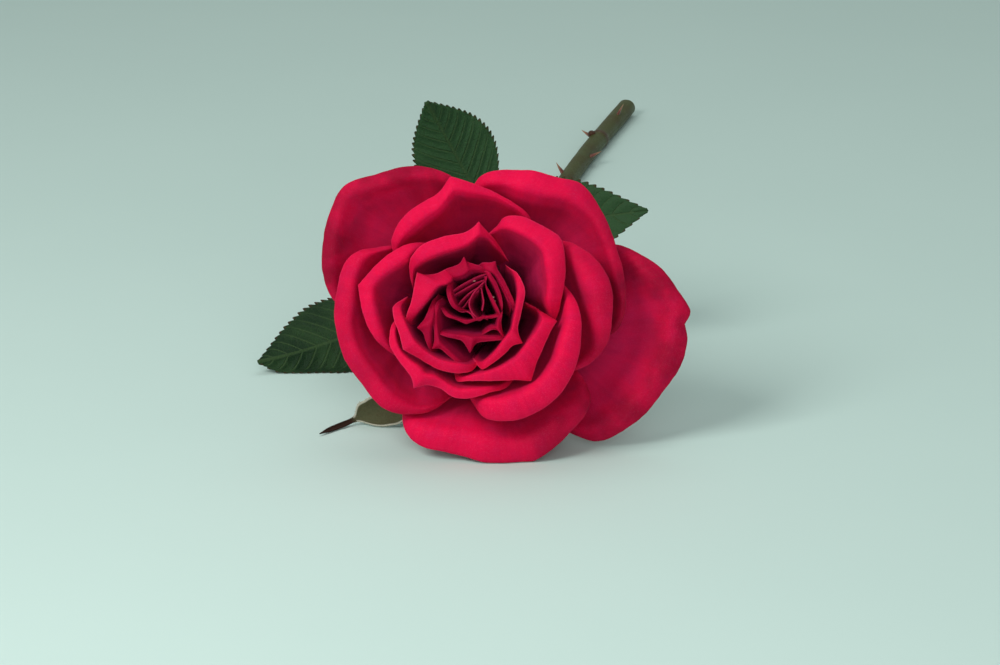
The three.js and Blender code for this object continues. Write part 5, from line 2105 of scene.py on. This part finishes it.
LEAVES = (
    Leaf(
        "left_leaf", "leaf_left",
        ((-1.7, 60, 12), (-5, 59.4, 13.4), (-10.5, 58.7, 13.4), (-16.8, 57.9, 10.6)),
        (
            Leaflet((-16.2, 58, 10.9), (-45, 50, 2.6), (0.1, 0.65, 0.7), 10.2),
            Leaflet((-13.5, 56.5, 14.5), (-26, 42, 20), (0.6, -0.2, 0.7), 7.0),
            Leaflet((-13.5, 57, 14.5), (-26, 74, 10), (0.8, 0.3, 0.6), 7.0),
            Leaflet((-7, 58.3, 14.2), (-12, 44, 22), (0.8, -0.1, 0.5), 5.4),
            Leaflet((-7, 58.5, 14.2), (-14, 74, 14), (0.9, 0.3, 0.4), 5.4),
        ),
    ),
    Leaf(
        "upper_leaf", "leaf_upper",
        ((2.2, 79.3, 9.4), (2, 76.5, 16), (1.4, 73, 22.4), (0.5, 69.6, 29.4)),
        (
            Leaflet((0.8, 69.8, 28.8), (-11, 64.4, 53), (0.85, 0.1, 0.5), 8.4),
            Leaflet((1.2, 72.6, 22.5), (33.6, 64, 30.4), (0.1, 0.3, 0.95), 9.2),
            Leaflet((1.2, 72.6, 22.5), (-27, 69, 30.4), (0.2, 0.35, 0.9), 7.6),
        ),
        # Painted light on the upper leaf.
        youth=0.75,
    ),
)


# The studio


@dataclass(frozen=True)
class Lamp:
    """A large soft lamp: where it hangs, the side of its square face, its watts and its tint."""

    name: str
    place: Point
    size: float
    power: float
    tint: Colour

    def hang(self, target: Vector) -> None:
        """Hangs the lamp.

        Args:
            target: the place that it looks at.
        """
        light = bpy.data.lights.new(self.name, "AREA")
        light.energy, light.size, light.color = self.power, self.size, self.tint
        holder = bpy.data.objects.new(self.name, light)
        holder.location = self.place
        holder.rotation_euler = (target - Vector(self.place)).to_track_quat("-Z", "Y").to_euler()
        bpy.context.scene.collection.objects.link(holder)


@dataclass(frozen=True)
class Studio:
    """A plain pale floor, soft light and a camera at the photograph's viewing angle.

    Lengths are metres, and the lens is in millimetres. The aim is in pixels from the heart.
    """

    elevation: float = VIEW_ELEVATION
    lens: float = 150.0
    pixels_a_metre: float = 5300.0
    frame_width: float = 1000.0
    aim: tuple[float, float] = (20.0, -27.5)
    heart: Point = (HEART_PLACE[0] * MM, HEART_PLACE[1] * MM, HEART_HEIGHT * MM)
    floor_reach: float = 3.0
    sky_tint: Colour = (0.86, 0.93, 0.92)
    sky_strength: float = 0.3
    lamps: tuple[Lamp, ...] = (
        Lamp("key_light", (-0.34, -0.46, 0.44), 0.28, 2.5, (1.0, 0.99, 0.97)),
        Lamp("top_light", (0.05, 0.08, 0.7), 0.6, 1.0, (0.95, 1.0, 0.99)),
        Lamp("fill_light", (0.08, -0.82, 0.32), 0.4, 1.75, (0.96, 0.98, 1.0)),
    )

    def floor(self) -> None:
        """Lays the floor."""
        far = self.floor_reach
        mesh = bpy.data.meshes.new("floor")
        corners = [(-far, -far, 0), (far, -far, 0), (far, far, 0), (-far, far, 0)]
        mesh.from_pydata(corners, [], [(0, 1, 2, 3)])
        mesh.materials.append(FloorFinish().build())
        plane = bpy.data.objects.new("floor", mesh)
        bpy.context.scene.collection.objects.link(plane)

    def sky(self) -> None:
        """Gives the room its pale even light."""
        world = bpy.data.worlds.new("room")
        world.use_nodes = True
        background = world.node_tree.nodes["Background"]
        background.inputs[0].default_value = (*self.sky_tint, 1.0)
        background.inputs[1].default_value = self.sky_strength
        bpy.context.scene.world = world

    def camera(self) -> None:
        """Sets the camera where the photograph was taken from."""
        s, c = math.sin(self.elevation), math.cos(self.elevation)
        u, v = (a / self.pixels_a_metre for a in self.aim)
        x, y, z = self.heart
        centre = Vector((x + u, y + v * s, z + v * c))
        data = bpy.data.cameras.new("photo_camera")
        data.lens, data.clip_start = self.lens, 0.01
        away = self.lens / data.sensor_width * self.frame_width / self.pixels_a_metre
        holder = bpy.data.objects.new("photo_camera", data)
        direction = Vector((0.0, -c, s))
        holder.location = centre + direction * away
        holder.rotation_euler = (-direction).to_track_quat("-Z", "Y").to_euler()
        bpy.context.scene.collection.objects.link(holder)
        bpy.context.scene.camera = holder

    def build(self) -> None:
        """Sets up the whole studio."""
        bpy.context.scene.view_settings.view_transform = "Standard"
        self.floor()
        self.sky()
        for lamp in self.lamps:
            lamp.hang(Vector(self.heart))
        self.camera()


def main() -> None:
    """Builds the flower and its studio, in order."""
    logging.basicConfig(level=logging.INFO, format="%(name)s %(message)s")
    petal, pollen = PetalFinish().build(), PollenFinish().build()
    bark, horn, pith = BarkFinish().build(), PrickleFinish().build(), PithFinish().build()
    stalk = BarkFinish(
        "leaf_stalk", green=(0.04, 0.06, 0.02), light=(0.08, 0.085, 0.03), flush=(0.1, 0.024, 0.018),
        flush_share=0.9,
    ).build()
    green = LeafFinish().build()
    Bloom().build(petal)
    Heart().build(petal, pollen)
    Calyx().build(SepalFinish().build(), WoolFinish().build())
    Stem().build(bark, horn, pith)
    for leaf in LEAVES:
        leaf.build(green, stalk, horn)
    Studio().build()
    bpy.context.view_layer.update()


if __name__ == "__main__":
    main()
